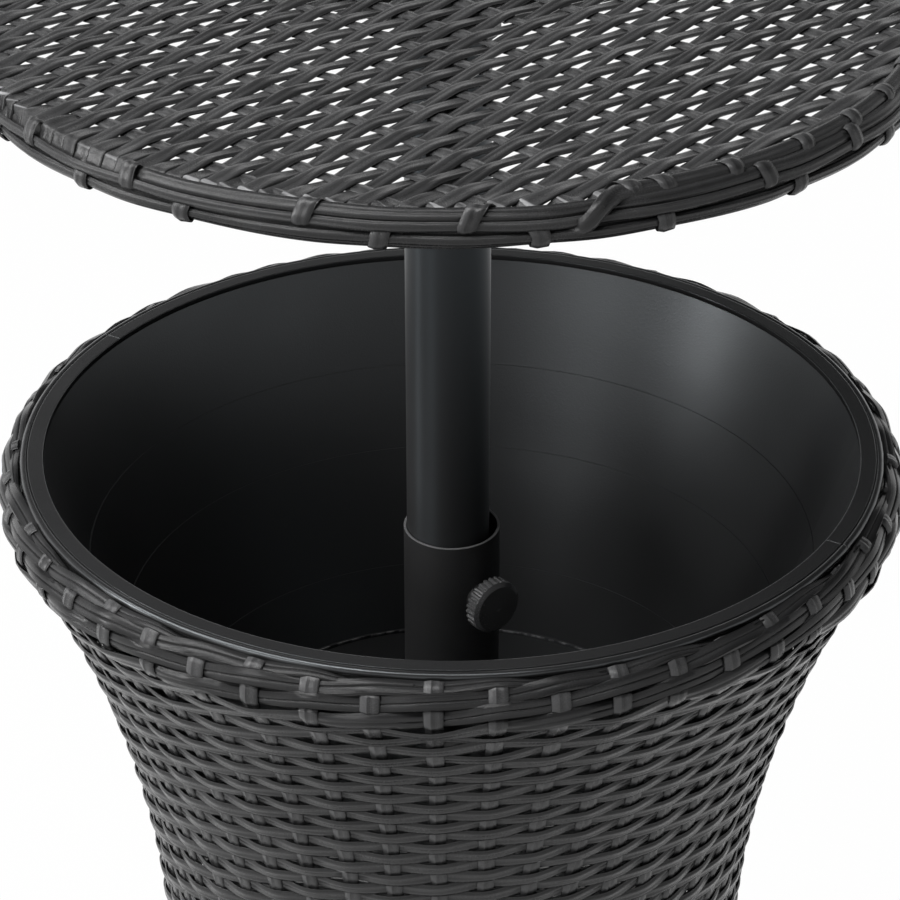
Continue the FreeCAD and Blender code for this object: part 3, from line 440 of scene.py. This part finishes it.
def tub_weavers(name, numbers, first, last, stations=6):
    """Weavers that climb round the tub between two rows, with so many stations from stake to stake. On
    weaver n the row number is n less the climb times the count of stakes passed, and its height is the
    in-and-out wave. In the borders a weaver is a fat bundle of two strands."""
    number = np.asarray(numbers)[:, None]
    start = behind_stake(number, first) if first > 1 else first
    end = behind_stake(number, last)
    count = int((last - first) / CLIMB * stations) + 1
    row = start + (end - start) * np.linspace(0, 1, count)[None, :]
    passed = (number - row) / CLIMB
    band = band_share(row)
    wave = in_and_out(number + passed)
    lift = (WEAVER_SWING - BORDER_SWING_LOSS * band) * wave
    lift = lift + slow_waves(len(numbers), passed, WEAVER_LIFT_UNEVEN)
    sway = SWAY + SWAY_MORE * at_row(row, SWAY_ROW)
    depth = row_depth(row) + slow_waves(len(numbers), passed, WEAVER_DEPTH_UNEVEN) - sway * wave
    centre, normal = tub_point(FIRST_STAKE + 360 / STAKES * passed, depth, lift)
    width = WEAVER_WIDTH + (BUNDLE_WIDTH - WEAVER_WIDTH) * band
    width = width + slow_waves(len(numbers), passed, WEAVER_WIDTH_UNEVEN) + WIDE_MORE * at_row(row, WIDE_ROW)
    thick = WEAVER_THICK + (BUNDLE_THICK - WEAVER_THICK) * band
    # the upper ends taper off under the bead of the trim
    taper = np.clip(row, TAPERED_WIDTH, 1)
    width, thick = width * taper, thick * (TAPERED_THICK + (1 - TAPERED_THICK) * taper)
    lean = slow_waves(len(numbers), passed, WEAVER_LEAN_UNEVEN)
    lean = lean + LEAN_BORDER * band - LEAN_SWING * (1 - band) * wave
    outline = mixed_outline(band, WEAVER_OUTLINE, BUNDLE_OUTLINE)
    return lay_strands(name, centre, normal, width, thick, outline, np.radians(lean))


def tub_stakes(name):
    """Upright stakes. Each runs down the profile and is pushed in under the weavers that pass over it,
    and out over those that pass behind it, most in the borders."""
    top_end = row_depth(TOP_BAND + 0.5)
    foot_start = row_depth(FOOT_BAND - 0.5)
    depth = np.concatenate([np.arange(STAKE_TOP, top_end, BORDER_STEP),
                            np.arange(top_end, foot_start, WALL_STEP),
                            np.arange(foot_start, ROW_DEPTHS[-1] + STAKE_PAST, BORDER_STEP)])[None, :]
    row = np.interp(depth, ROW_DEPTHS, ROW_NUMBERS)
    stake = (np.arange(STAKES) - STAKES // 2)[:, None]
    band = band_share(row)
    wave = -np.cos(math.pi * (row + (CLIMB + 1) * stake))
    in_border = np.tanh(BORDER_STAKE_BEND * (wave + BORDER_STAKE_OVER))
    lift = STAKE_SWING * (1 - band) * wave + band * BORDER_STAKE_SWING * in_border
    turn = FIRST_STAKE + 360 / STAKES * stake + slow_waves(STAKES, depth, STAKE_TURN_UNEVEN)
    centre, normal = tub_point(turn, depth, lift)
    width = STAKE_WIDTH + BORDER_STAKE_WIDER * band
    return lay_strands(name, centre, normal, width, STAKE_THICK, STAKE_OUTLINE, crease=20)


def border_lining(name):
    """A flat ring of strand: a circle about the tub's axis at one level, facing out."""
    angle = np.radians(np.arange(0, 360, LINING_STEP))[None, :]
    out = np.stack([np.sin(angle), -np.cos(angle), 0 * angle], -1)
    centre = LINING_RADIUS * out + np.array([0, 0, LINING_LEVEL])
    return lay_strands(name, centre, out, LINING_WIDTH, LINING_THICK, WEAVER_OUTLINE, closed=True)


weavers_even = tub_weavers("tub_weavers_even", range(0, WEAVERS, 2), TOP_BAND, FOOT_BAND)
weavers_odd = tub_weavers("tub_weavers_odd", range(1, WEAVERS, 2), TOP_BAND, FOOT_BAND)
rim_strands = tub_weavers("rim_border_strands", range(WEAVERS), BORDER_START, TOP_BAND)
foot_strands = tub_weavers("foot_border_strands", range(WEAVERS), FOOT_BAND, LAST_ROW)
stakes = tub_stakes("tub_stakes")
lining = border_lining("rim_border_lining")
for piece in (weavers_even, weavers_odd, rim_strands, foot_strands, stakes, lining):
    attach(piece, "base")
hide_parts("body_weave")
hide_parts("rim_border")
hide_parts("foot_border")


# Table top
def top_point(along, over, lift, inset=0.0):
    """A point of the woven disc: flat up to the edge less inset, then bent down round it like a cloth and
    leaning out. along and over are measured in the weave's own directions; lift is along the surface's
    normal."""
    turn = math.radians(TOP_TURN)
    x = along * math.cos(turn) - over * math.sin(turn)
    y = along * math.sin(turn) + over * math.cos(turn)
    reach = np.hypot(x, y)
    start = EDGE_START - inset
    bent = np.clip((reach - start) / EDGE_BEND, 0, math.pi / 2)
    straight = np.maximum(reach - start - EDGE_BEND * math.pi / 2, 0)
    radius = np.minimum(reach, start) + (EDGE_BEND + lift) * np.sin(bent) + LEAN_OUT * straight
    level = TOP_MIDDLE + lift * np.cos(bent) - EDGE_BEND * (1 - np.cos(bent)) - straight
    scale = radius / np.maximum(reach, 1e-6)
    point = np.stack([x * scale + TOP_ACROSS, y * scale, level], -1)
    ray = np.stack([x, y], -1) / np.maximum(reach, 1e-6)[..., None]
    normal = np.concatenate([ray * np.sin(bent)[..., None], np.cos(bent)[..., None]], -1)
    return point, normal


STAKE_NUMBERS = np.arange(len(TOP_STAKES)) + FIRST_STAKE_NUMBER


def field_strands(name, lines, along_rows, stations, width, thick, outline, height, tone):
    """Strands across the disc. Each lies on its line, as far as the edge's reach on both sides, and
    follows the in-and-out wave; the rows wave one way and the stakes the other. A strand's share along it
    is a cubic of the station's, so that stations lie closer where it bends over the edge."""
    past = FIELD_REACH - SIDE_SHORTER * (lines / EDGE_START)**SIDE_POWER
    half = np.sqrt(np.maximum(past**2 - lines**2, SHORTEST_LINE**2))[:, None]
    share = np.linspace(-1, 1, stations)[None, :]
    run = half * (share * (1 + MORE_AT_ENDS - MORE_AT_ENDS * share**2))
    uneven = TOP_ROW_UNEVEN if along_rows else TOP_STAKE_UNEVEN
    line = lines[:, None] + slow_waves(len(lines), run, uneven)
    along, over = (run, line) if along_rows else (line, run)
    reach = np.hypot(along, over)
    row = (over - ROW_START) / ROW_STEP
    if along_rows:
        passed = np.interp(along, TOP_STAKES, STAKE_NUMBERS)
        phase = np.round((lines - ROW_START) / ROW_STEP)[:, None] + passed
    else:
        phase = row + np.round(np.interp(lines, TOP_STAKES, STAKE_NUMBERS))[:, None]
    lift = height * in_and_out(phase) * np.clip((EDGE_START + CALM_PAST - reach) / CALM_OVER, CALM_LEAST, 1)
    beside = np.abs(lines[:, None]) / EDGE_START
    inset = SIDE_INSET * beside**SIDE_POWER
    centre, normal = top_point(along, over, lift, inset)
    flat = np.clip((beside - FLAT_FROM) / FLAT_OVER, 0, 1)[..., None]
    normal = unit(normal * (1 - flat) + np.array([0, 0, 1.0]) * flat)
    roll = np.radians(slow_waves(len(lines), run, TOP_LEAN_UNEVEN))
    if along_rows:
        bent = (reach - EDGE_START + inset) / EDGE_BEND
        # The tone rises at the fold's bend, where the strand gets a painted highlight
        tone = tone + FOLD_HIGHLIGHT_TONE * np.exp(-((bent - FOLD_HIGHLIGHT_MIDDLE) / FOLD_HIGHLIGHT_SPREAD)**2)
        width = width - ROW_NARROWER * along / EDGE_START + slow_waves(len(lines), run, ROW_WIDTH_UNEVEN)
        near_edge = np.clip((reach - WIDER_FROM) / WIDER_OVER, 0, 1)
        width = width + ROW_WIDER * near_edge
        outline = mixed_outline(near_edge, outline, FLAT_OUTLINE)
    return lay_strands(name, centre, normal, width, thick, outline, roll, tone)


def edge_point(turn, radius, level):
    """A point by its turn from the front in degrees, its distance from the post's axis and its level."""
    angle = np.radians(turn)
    return np.stack([radius * np.sin(angle) + TOP_ACROSS, -radius * np.cos(angle), level + 0 * angle], -1)


def edge_strands(name, stations=460):
    """Closed rings of strand round the table's edge, in two rows of two, with two more inside on the
    frame ring. A row passes over one stake and behind the next: its radius follows a cosine of the stakes
    passed."""
    turn = np.linspace(EDGE_STAKES[0], EDGE_STAKES[0] + 360, stations, endpoint=False)
    places = np.concatenate([EDGE_STAKES, [EDGE_STAKES[0] + 360]])
    passed = np.interp(turn, places, np.arange(len(places)))
    back = (UPPER_START - turn) % 360
    tuck = np.clip(back / TUCK_FIRST, 0, 1) * np.clip((TUCK_LONG - back) / TUCK_LAST, 0, 1)
    centres, outs, rolls, widths = [], [], [], []
    for below, radius, roll, width, row, tucked in EDGE_ROWS:
        wave = np.cos(math.pi * (passed + row))
        ring = radius - TUCK_IN * tuck * tucked - EDGE_SWING * wave
        ring = ring + slow_waves(1, turn, EDGE_RADIUS_UNEVEN)[0]
        level = TOP_LEVEL + below - TUCK_DOWN * tuck * tucked + slow_waves(1, turn, EDGE_LEVEL_UNEVEN)[0]
        centres.append(edge_point(turn, ring, level))
        outs.append(edge_point(turn, 1.0, 0.0) - edge_point(turn, 0.0, 0.0))
        rolls.append(np.radians(roll + slow_waves(1, turn, EDGE_ROLL_UNEVEN)[0]))
        widths.append(width + 0 * turn)
    return lay_strands(name, np.array(centres), np.array(outs), np.array(widths), EDGE_THICK, WEAVER_OUTLINE,
                       np.array(rolls), closed=True)


def slant(turn):
    """How much the weave's nearer direction leans along the edge for each step out over it, held to the
    most that a wrap leans."""
    away = (turn - TOP_TURN + 45) % 90 - 45
    return np.clip(-math.tan(math.radians(away)), -LEAN_MOST, LEAN_MOST)


def bound_strands(name, turns, sides, stations=48):
    """Strands bound over the edge. Each follows a smooth curve through points of radius and level, and
    leans along the edge, as the weave does, until it has passed over its bundle."""
    places, ways = [], []
    for turn, side in zip(turns, sides):
        path = curve_through(side, WRAP_STEP)
        steps = path_length(path)
        even = np.linspace(0, steps[-1], stations)
        radius, level = np.interp(even, steps, path[:, 0]), np.interp(even, steps, path[:, 1])
        before = np.minimum(even - even[int(np.argmax(radius))], 0)
        lean = slant(turn) * np.where(before < -LEAN_REACH, before + LEAN_REACH / 2, before / 2)
        places.append(np.stack([turn + np.degrees(lean / WRAP_RADIUS), radius, level], -1))
        ways.append(np.stack([np.gradient(radius), np.gradient(level)], -1))
    places, ways = np.array(places), np.array(ways)
    turn = places[..., 0] + slow_waves(len(places), np.arange(float(stations)), WRAP_TURN_UNEVEN)
    centre = edge_point(turn, places[..., 1], places[..., 2])
    angle = np.radians(turn)
    out = np.stack([-ways[..., 1] * np.sin(angle), ways[..., 1] * np.cos(angle), ways[..., 0]], -1)
    return lay_strands(name, centre, out, WRAP_WIDTH, WRAP_THICK, STAKE_OUTLINE)


def outer_rows(name):
    """The outermost row on each side, a fat bundle that runs along the edge and is bound down over it at
    both ends: a smooth curve through points of turn, radius and level."""
    corners = np.array(OUTER_HALF + [(-turn, radius, level) for turn, radius, level in OUTER_HALF[::-1]])
    arc = np.array([MM_PER_DEGREE, 1, 1])
    path = curve_through(corners * arc, OUTER_STEP) / arc
    turn = np.stack([path[:, 0] + TOP_TURN, path[:, 0] + TOP_TURN + 180])
    centre = edge_point(turn, path[:, 1] + 0 * turn, path[:, 2] + 0 * turn)
    steep = np.radians(np.interp(path[:, 1], OUTER_RADII, OUTER_STEEP) + 0 * turn)
    angle = np.radians(turn)
    out = np.stack([np.cos(steep) * np.sin(angle), -np.cos(steep) * np.cos(angle), np.sin(steep)], -1)
    return lay_strands(name, centre, out, OUTER_WIDTH, OUTER_THICK, ROW_OUTLINE)


def edge_loops():
    """Turn and path of each strand bound over the edge: the even ones over the upper bundle, apart from
    those at an end of an outermost row, and the odd ones over the lower."""
    loops = []
    for number, turn in enumerate(EDGE_STAKES):
        from_middle = abs((turn - TOP_TURN + 90) % 180 - 90)
        if number % 2:
            loops.append((turn, OVER_LOWER))
        elif abs(from_middle - OUTER_END) > OUTER_CLEAR:
            loops.append((turn, OVER_UPPER))
    return zip(*loops)


row_count = int(FIELD_REACH / ROW_STEP)
row_lines = ROW_START + ROW_STEP * np.arange(-row_count, row_count + 1)
row_lines = row_lines[np.abs(row_lines) < EDGE_START - ROW_CLEAR]
stake_lines = np.array([line for line in TOP_STAKES if abs(line) < EDGE_START - STAKE_CLEAR], float)
top_rows = field_strands("top_rows", row_lines, True, TOP_ROW_STATIONS, TOP_ROW_WIDTH, TOP_ROW_THICK,
                         ROW_OUTLINE, TOP_ROW_SWING, random.uniform(-1, 1, (len(row_lines), 1)))
top_stakes = field_strands("top_stakes", stake_lines, False, TOP_STAKE_STATIONS, TOP_STAKE_WIDTH,
                           TOP_STAKE_THICK, STAKE_OUTLINE, TOP_STAKE_SWING,
                           random.uniform(-1, 1, (len(stake_lines), 1)))
edge_rows = edge_strands("table_edge_rows")
edge_wraps = bound_strands("table_edge_wraps", *edge_loops())
row_wraps = bound_strands("table_row_wraps", np.concatenate([ROW_STAKES, ROW_STAKES + 180]),
                          [OVER_ROW] * (2 * len(ROW_STAKES)), stations=24)
outer_pair = outer_rows("table_outer_rows")
for piece in (top_rows, top_stakes, edge_rows, edge_wraps, row_wraps, outer_pair):
    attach(piece, "table")
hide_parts("top_weave")
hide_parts("table_edge")


# Materials
class Wire:
    """A value in a material's nodes. Plain arithmetic on wires adds the nodes that work it out."""

    def __init__(self, tree, socket):
        self.tree = tree
        self.socket = socket

    def maths(self, operation, *values):
        """Adds a Math node on values or wires."""
        node = self.tree.nodes.new("ShaderNodeMath")
        node.operation = operation
        for slot, value in zip(node.inputs, values):
            if isinstance(value, Wire):
                self.tree.links.new(value.socket, slot)
            else:
                slot.default_value = value
        return Wire(self.tree, node.outputs[0])

    def __add__(self, other):
        return self.maths("ADD", self, other)

    __radd__ = __add__

    def __sub__(self, other):
        return self.maths("SUBTRACT", self, other)

    def __rsub__(self, other):
        return self.maths("SUBTRACT", other, self)

    def __mul__(self, other):
        return self.maths("MULTIPLY", self, other)

    __rmul__ = __mul__

    def __abs__(self):
        return self.maths("ABSOLUTE", self)

    def or_more(self, other):
        """The larger of two values."""
        return self.maths("MAXIMUM", self, other)

    def clamped(self):
        """The value held between 0 and 1."""
        return self.maths("MINIMUM", self.or_more(0.0), 1.0)


class Paint:
    """A new material with its principled shader, and a way to add any node to it."""

    def __init__(self, name, colour, roughness, **constants):
        self.material = bpy.data.materials.new(name)
        self.material.use_nodes = True
        self.tree = self.material.node_tree
        self.shader = self.tree.nodes["Principled BSDF"]
        self.shader.inputs["Base Color"].default_value = (*colour, 1)
        self.shader.inputs["Roughness"].default_value = roughness
        for name, value in constants.items():
            self.shader.inputs[name.replace("_", " ")].default_value = value

    def node(self, kind, settings=None, **sockets):
        """Adds a node: its settings first, then values or wires for its inputs by name."""
        made = self.tree.nodes.new(kind)
        for name, value in (settings or {}).items():
            setattr(made, name, value)
        for name, value in sockets.items():
            slot = made.inputs[name.replace("_", " ")]
            if isinstance(value, Wire):
                self.tree.links.new(value.socket, slot)
            else:
                slot.default_value = value
        return made

    def wire(self, node, output=0):
        """A node's output, by number or name."""
        return Wire(self.tree, node.outputs[output])

    def split(self, vector):
        """The three parts of a vector."""
        made = self.node("ShaderNodeSeparateXYZ", Vector=vector)
        return [self.wire(made, axis) for axis in "XYZ"]

    def place(self):
        """Object coordinates, in metres."""
        return self.wire(self.node("ShaderNodeTexCoord"), "Object")

    def noise(self, scale, detail=3.0, where=None):
        """Noise with so many lumps to the metre."""
        made = self.node("ShaderNodeTexNoise", Scale=scale, Detail=detail, Roughness=0.5,
                         Vector=where or self.place())
        return self.wire(made, "Fac")

    def blend(self, share, first, second):
        """Mixes two colours by a share."""
        made = self.node("ShaderNodeMix", {"data_type": "RGBA"})
        self.tree.links.new(share.socket, made.inputs[0])
        for slot, colour in ((made.inputs[6], first), (made.inputs[7], second)):
            if isinstance(colour, Wire):
                self.tree.links.new(colour.socket, slot)
            else:
                slot.default_value = (*colour, 1)
        return Wire(self.tree, made.outputs[2])

    def feed(self, name, wire):
        """Links a wire to an input of the shader."""
        self.tree.links.new(wire.socket, self.shader.inputs[name])

    def bump(self, height, depth, edge=0.0):
        """Raises the surface by height, 0 to 1, times depth in metres. edge is a radius in metres by which
        sharp edges look rounded."""
        made = self.node("ShaderNodeBump", Height=height, Distance=depth)
        if edge:
            rounded = self.node("ShaderNodeBevel", {"samples": 6}, Radius=edge)
            self.tree.links.new(rounded.outputs["Normal"], made.inputs["Normal"])
        self.tree.links.new(made.outputs["Normal"], self.shader.inputs["Normal"])


def grey(level):
    """The linear value of an even grey given as its screen value from 0 to 255, a touch bluer."""
    share = level / 255
    linear = ((share + 0.055) / 1.055)**2.4
    return (linear, linear, linear * 1.02)


# Pale grey of the painted highlights on folded rows and along the bucket's ledge
PAINTED_HIGHLIGHT_GREY = grey(150)
COOL = (0.9, 0.96, 1, 1)
# Lumps to the metre of the strands' grain and of their slow patches, and stretch of their grain lines
STRAND_GRAIN, STRAND_PATCH = 1900, 40
LINES_ALONG, LINES_ROUND, LINES_APART = 45, 60, 9
RIBS_ROUND = 4.5
# Share round a strand's outline between which its flat lies, and how sharply the flat ends. The flat
# is painted paler there: a painted highlight on that facet
FLAT_SHARE = (0.36, 0.53)
FLAT_SHARP = 30
# How much darker and paler than its lightness a strand gets; past this tone it gets a painted highlight
LIGHTNESS_SPREAD = 14
HIGHLIGHT_FROM_TONE = 1.5


def wicker_paint(name, lightness, facet_highlight=0.0, roughness=0.24, gloss=0.25):
    """Extruded plastic strand: low ribs and grain lines along it, each strand a little lighter or darker
    than its lightness, a screen value, and darker in the grooves between the ribs as painted shade.
    facet_highlight is how much paler the strand is on the flat of its outline, a painted highlight, and
    gloss its reflection face on. Roughness wanders about its value with grain and patches. Where the tone
    is past HIGHLIGHT_FROM_TONE, the strand is pale in patches: a painted highlight on the folds."""
    paint = Paint(name, grey(60), roughness, Specular_IOR_Level=gloss)
    along, round_share, _ = paint.split(paint.wire(paint.node("ShaderNodeUVMap", {"uv_map": "grain"})))
    tone = paint.wire(paint.node("ShaderNodeAttribute", {"attribute_name": "tone"}), "Fac")
    lines = paint.node("ShaderNodeCombineXYZ", X=along * LINES_ALONG, Y=round_share * LINES_ROUND,
                       Z=tone * LINES_APART)
    streak = paint.noise(1.0, 3.0, paint.wire(lines))
    grain = paint.noise(STRAND_GRAIN)
    patch = paint.noise(STRAND_PATCH)
    turned = round_share * (2 * math.pi * RIBS_ROUND)
    ribs = turned.maths("COSINE", turned)
    # The colour follows the ribs, darker in the grooves between them: painted shade
    share = 0.45 + 0.2 * tone + 0.9 * (streak - 0.5) + 0.8 * (patch - 0.5) + 0.5 * (grain - 0.5) + 0.22 * ribs
    # Painted highlight: the flat facet of the outline is made paler, as if it caught the light
    if facet_highlight:
        start, end = FLAT_SHARE
        flat = (FLAT_SHARP * (round_share - start)).clamped() * (FLAT_SHARP * (end - round_share)).clamped()
        share = share + facet_highlight * flat
    dark, light = grey(lightness - LIGHTNESS_SPREAD), grey(lightness + LIGHTNESS_SPREAD)
    plain = paint.blend(share.clamped(), dark, light)
    # Painted highlight: pale patches where the tone is past HIGHLIGHT_FROM_TONE, at the folds
    painted_fold_highlight = (tone - HIGHLIGHT_FROM_TONE).clamped() * (0.55 + 3 * (patch - 0.45)).clamped()
    paint.feed("Base Color", paint.blend(painted_fold_highlight, plain, PAINTED_HIGHLIGHT_GREY))
    paint.feed("Roughness", (roughness + 0.36 * (grain - 0.5) + 0.3 * (patch - 0.5)).clamped())
    paint.bump(0.13 * ribs + 0.10 * streak + 0.05 * grain, MM)
    return paint.material


def sleeve_paint(top):
    """The sleeve's coat, paler along the cut edge at the top: a painted highlight, where the coat thins too.
    """
    paint = Paint("sleeve_coating", grey(44), 0.5)
    _, _, level = paint.split(paint.place())
    # Painted highlight along the top edge, partly the thin coat there
    edge = (4000 * (level - (top - 0.4 * MM))).clamped()
    speck = (4 * (paint.noise(2600, 2.0) - 0.52)).clamped()
    patch = paint.noise(30)
    body = paint.blend((0.5 * patch + 0.5 * speck).clamped(), grey(44), grey(72))
    paint.feed("Base Color", paint.blend(edge * (0.7 + 0.6 * patch).clamped(), body, grey(125)))
    paint.feed("Roughness", 0.42 + 0.2 * speck)
    paint.bump(paint.noise(1500), 0.2 * MM, 0.6 * MM)
    return paint.material


def bucket_paint(ledge, radius):
    """The bucket's moulding, with a broken pale line, a painted highlight, at the radius and level, in
    metres, where the ledge drops to the floor."""
    paint = Paint("bucket_moulded", grey(40), 0.36, Specular_IOR_Level=0.7, Specular_Tint=COOL)
    x, y, level = paint.split(paint.place())
    squared = x * x + y * y
    away = abs(squared.maths("SQRT", squared) - radius)
    drop = abs(level - ledge)
    grain, patch, broken = paint.noise(900), paint.noise(14), paint.noise(160)
    # Painted highlight along the ledge's edge, broken in places
    line = (1.5 - 1800 * away).clamped() * (1.5 - 1000 * drop).clamped() * (7 * (broken - 0.46)).clamped()
    wall = paint.blend((0.3 * grain + 0.7 * patch).clamped(), grey(37), grey(43))
    paint.feed("Base Color", paint.blend(line, wall, PAINTED_HIGHLIGHT_GREY))
    paint.feed("Roughness", (0.36 + 0.10 * (patch - 0.5) + 0.08 * (grain - 0.5)).clamped())
    paint.bump(grain, 0.08 * MM)
    return paint.material


def plain_paint(name, level, spread, roughness, grain_scale, grain_depth, edge=0.0, **constants):
    """One finish with a fine raised grain and slow changes of tone and gloss about a grey's screen value.
    The grain's depth and the radius that sharp edges look rounded by are in millimetres."""
    colour = grey(level)
    paint = Paint(name, colour, roughness, **constants)
    grain = paint.noise(grain_scale)
    patch = paint.noise(14)
    dark = tuple(part * (1 - spread) for part in colour)
    light = tuple(part * (1 + spread) for part in colour)
    paint.feed("Base Color", paint.blend((0.3 * grain + 0.7 * patch).clamped(), dark, light))
    paint.feed("Roughness", (roughness + 0.10 * (patch - 0.5) + 0.08 * (grain - 0.5)).clamped())
    paint.bump(grain, grain_depth * MM, edge * MM)
    return paint.material


# Level and radius of the drop inside the bucket, in metres
BUCKET_LEDGE = 0.313
LEDGE_RADIUS = 0.147
PAINTS = {
    "wicker": wicker_paint("wicker_strand", 54),
    "bucket_plastic": bucket_paint(BUCKET_LEDGE, LEDGE_RADIUS),
    "trim_plastic": plain_paint("trim_moulded", 44, 0.08, 0.2, 1500, 0.03, 0.8, Specular_IOR_Level=0.55,
                                Specular_Tint=COOL),
    "powder_coat": plain_paint("frame_coating", 40, 0.15, 0.5, 1800, 0.12),
    "sleeve_coat": sleeve_paint(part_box("post_sleeve")[1].z),
    # highlights are drawn out into a narrow streak down the post
    "post_coat": plain_paint("post_satin", 54, 0.06, 0.4, 1100, 0.02, Anisotropic=0.85,
                             Anisotropic_Rotation=0.25, Specular_IOR_Level=0.42,
                             Specular_Tint=(0.75, 0.9, 1, 1)),
    "zinc_steel": plain_paint("zinc_plated", 178, 0.1, 0.34, 700, 0.03, Metallic=1.0),
    "knob_plastic": plain_paint("knob_moulded", 86, 0.1, 0.26, 1300, 0.04, 0.5, Specular_IOR_Level=0.8),
    "black_plastic": plain_paint("black_moulded", 30, 0.1, 0.45, 1000, 0.05),
    "black_rubber": plain_paint("black_rubber", 26, 0.1, 0.75, 900, 0.1),
}
for subpart in frame["record"]["subparts"]:
    node = frame["nodes"][subpart["node"]]
    node.data.materials.clear()
    node.data.materials.append(PAINTS[subpart["material_slot"]])
for paint, pieces in (
    (PAINTS["wicker"], (weavers_even, weavers_odd, foot_strands, lining, top_rows, edge_rows, outer_pair)),
    # Stakes are a lighter copy, painted light; stakes and wraps get a painted highlight on their flat facet
    (wicker_paint("wicker_stake", 66, 0.9), (stakes, top_stakes)),
    (wicker_paint("wicker_bundle", 48, 0.0, 0.2, 0.2), (rim_strands,)),
    (wicker_paint("wicker_wrap", 57, 0.5), (edge_wraps, row_wraps)),
):
    for piece in pieces:
        piece.data.materials.append(paint)


# Floor, light and camera, in metres
FLOOR_RADIUS = 6
FLOOR_SIDES = 64
FLOOR_WHITE = 0.99
WORLD_LIGHT = 0.05
# Height of a direction, straight up being 1, up to which mirrors see white, and how fast that fades above it
MIRRORED_UP = 0.2
MIRRORED_FADE = 4
# Softboxes: place, size and watts, all turned to a point just above the tub's mouth
AIM = (0, 0, 0.6)
SOFTBOXES = {
    "high_box": ((-0.936, -0.436, 2.542), (1.5, 0.5), 24),
    "left_box": ((-1.629, -0.142, 2.072), (1.2, 0.6), 21),
    "side_box": ((-1.41, -1.41, 1.53), (0.8, 0.8), 13),
    "low_box": ((-2.131, -0.299, 1.057), (0.3, 0.6), 12),
    "top_box": ((-0.143, -0.812, 2.64), (1.2, 0.6), 14),
}
CAMERA_PLACE = (0, -1.4385, 1.3561)
CAMERA_TIP = 60.43
CAMERA_LENS = 117.8
CAMERA_SHIFT = (-0.002, -0.0189)


def pale_floor():
    """A wide floor disc. The camera and mirrors see it nearly white, with a hundredth of its lit colour."""
    angles = [2 * math.pi * side / FLOOR_SIDES for side in range(FLOOR_SIDES)]
    mesh = bpy.data.meshes.new("floor")
    corners = [(FLOOR_RADIUS * math.cos(angle), FLOOR_RADIUS * math.sin(angle), 0) for angle in angles]
    mesh.from_pydata(corners, [], [list(range(FLOOR_SIDES))])
    floor = bpy.data.objects.new("floor", mesh)
    bpy.context.scene.collection.objects.link(floor)
    paint = Paint("pale_floor", (0.6, 0.6, 0.6), 0.9)
    path = paint.node("ShaderNodeLightPath")
    share = paint.wire(path, "Is Camera Ray").or_more(paint.wire(path, "Is Glossy Ray"))
    share = share.or_more(paint.wire(path, "Is Transmission Ray"))
    white = paint.node("ShaderNodeEmission", Color=WHITE, Strength=1.0)
    mix = paint.node("ShaderNodeMixShader", Fac=share * FLOOR_WHITE)
    paint.tree.links.new(paint.shader.outputs[0], mix.inputs[1])
    paint.tree.links.new(white.outputs[0], mix.inputs[2])
    paint.tree.links.new(mix.outputs[0], paint.tree.nodes["Material Output"].inputs["Surface"])
    mesh.materials.append(paint.material)


def white_world():
    """A backdrop that the camera sees white at every height, and mirrors see white up to some way above
    the horizon. Light from it, and what mirrors see above that, is dim."""
    world = bpy.data.worlds.new("studio")
    bpy.context.scene.world = world
    world.use_nodes = True
    tree = world.node_tree
    light = tree.nodes["Background"]
    light.inputs["Color"].default_value = (0.97, 0.985, 1, 1)
    light.inputs["Strength"].default_value = WORLD_LIGHT
    backdrop = tree.nodes.new("ShaderNodeBackground")
    backdrop.inputs["Color"].default_value = WHITE
    backdrop.inputs["Strength"].default_value = 1.0
    path = tree.nodes.new("ShaderNodeLightPath")
    place = tree.nodes.new("ShaderNodeTexCoord")
    split = tree.nodes.new("ShaderNodeSeparateXYZ")
    mix = tree.nodes.new("ShaderNodeMixShader")
    seen = Wire(tree, path.outputs["Is Camera Ray"]).or_more(Wire(tree, path.outputs["Is Transmission Ray"]))
    tree.links.new(place.outputs["Generated"], split.inputs[0])
    height = Wire(tree, split.outputs["Z"])
    low = 1 - ((height - MIRRORED_UP) * MIRRORED_FADE).clamped()
    mirrored = Wire(tree, path.outputs["Is Glossy Ray"]) * low
    tree.links.new(seen.or_more(mirrored).socket, mix.inputs[0])
    tree.links.new(light.outputs[0], mix.inputs[1])
    tree.links.new(backdrop.outputs[0], mix.inputs[2])
    tree.links.new(mix.outputs[0], tree.nodes["World Output"].inputs["Surface"])


def softbox(name, place, size, power):
    """A rectangular area lamp at a place, turned to the aim."""
    lamp = bpy.data.lights.new(name, "AREA")
    lamp.shape = "RECTANGLE"
    lamp.size, lamp.size_y = size
    lamp.energy = power
    holder = bpy.data.objects.new(name, lamp)
    bpy.context.scene.collection.objects.link(holder)
    x, y, z = np.subtract(AIM, place)
    holder.location = place
    holder.rotation_euler = (math.atan2(math.hypot(x, y), -z), 0, math.atan2(y, x) - math.pi / 2)


pale_floor()
white_world()
for name, (place, size, power) in SOFTBOXES.items():
    softbox(name, place, size, power)

camera = bpy.data.cameras.new("camera")
camera.sensor_width = 36
camera.lens = CAMERA_LENS
camera.shift_x, camera.shift_y = CAMERA_SHIFT
viewer = bpy.data.objects.new("camera", camera)
viewer.location = CAMERA_PLACE
viewer.rotation_euler = (math.radians(CAMERA_TIP), 0, 0)
bpy.context.scene.collection.objects.link(viewer)
bpy.context.scene.camera = viewer
bpy.context.scene.view_settings.view_transform = "Standard"
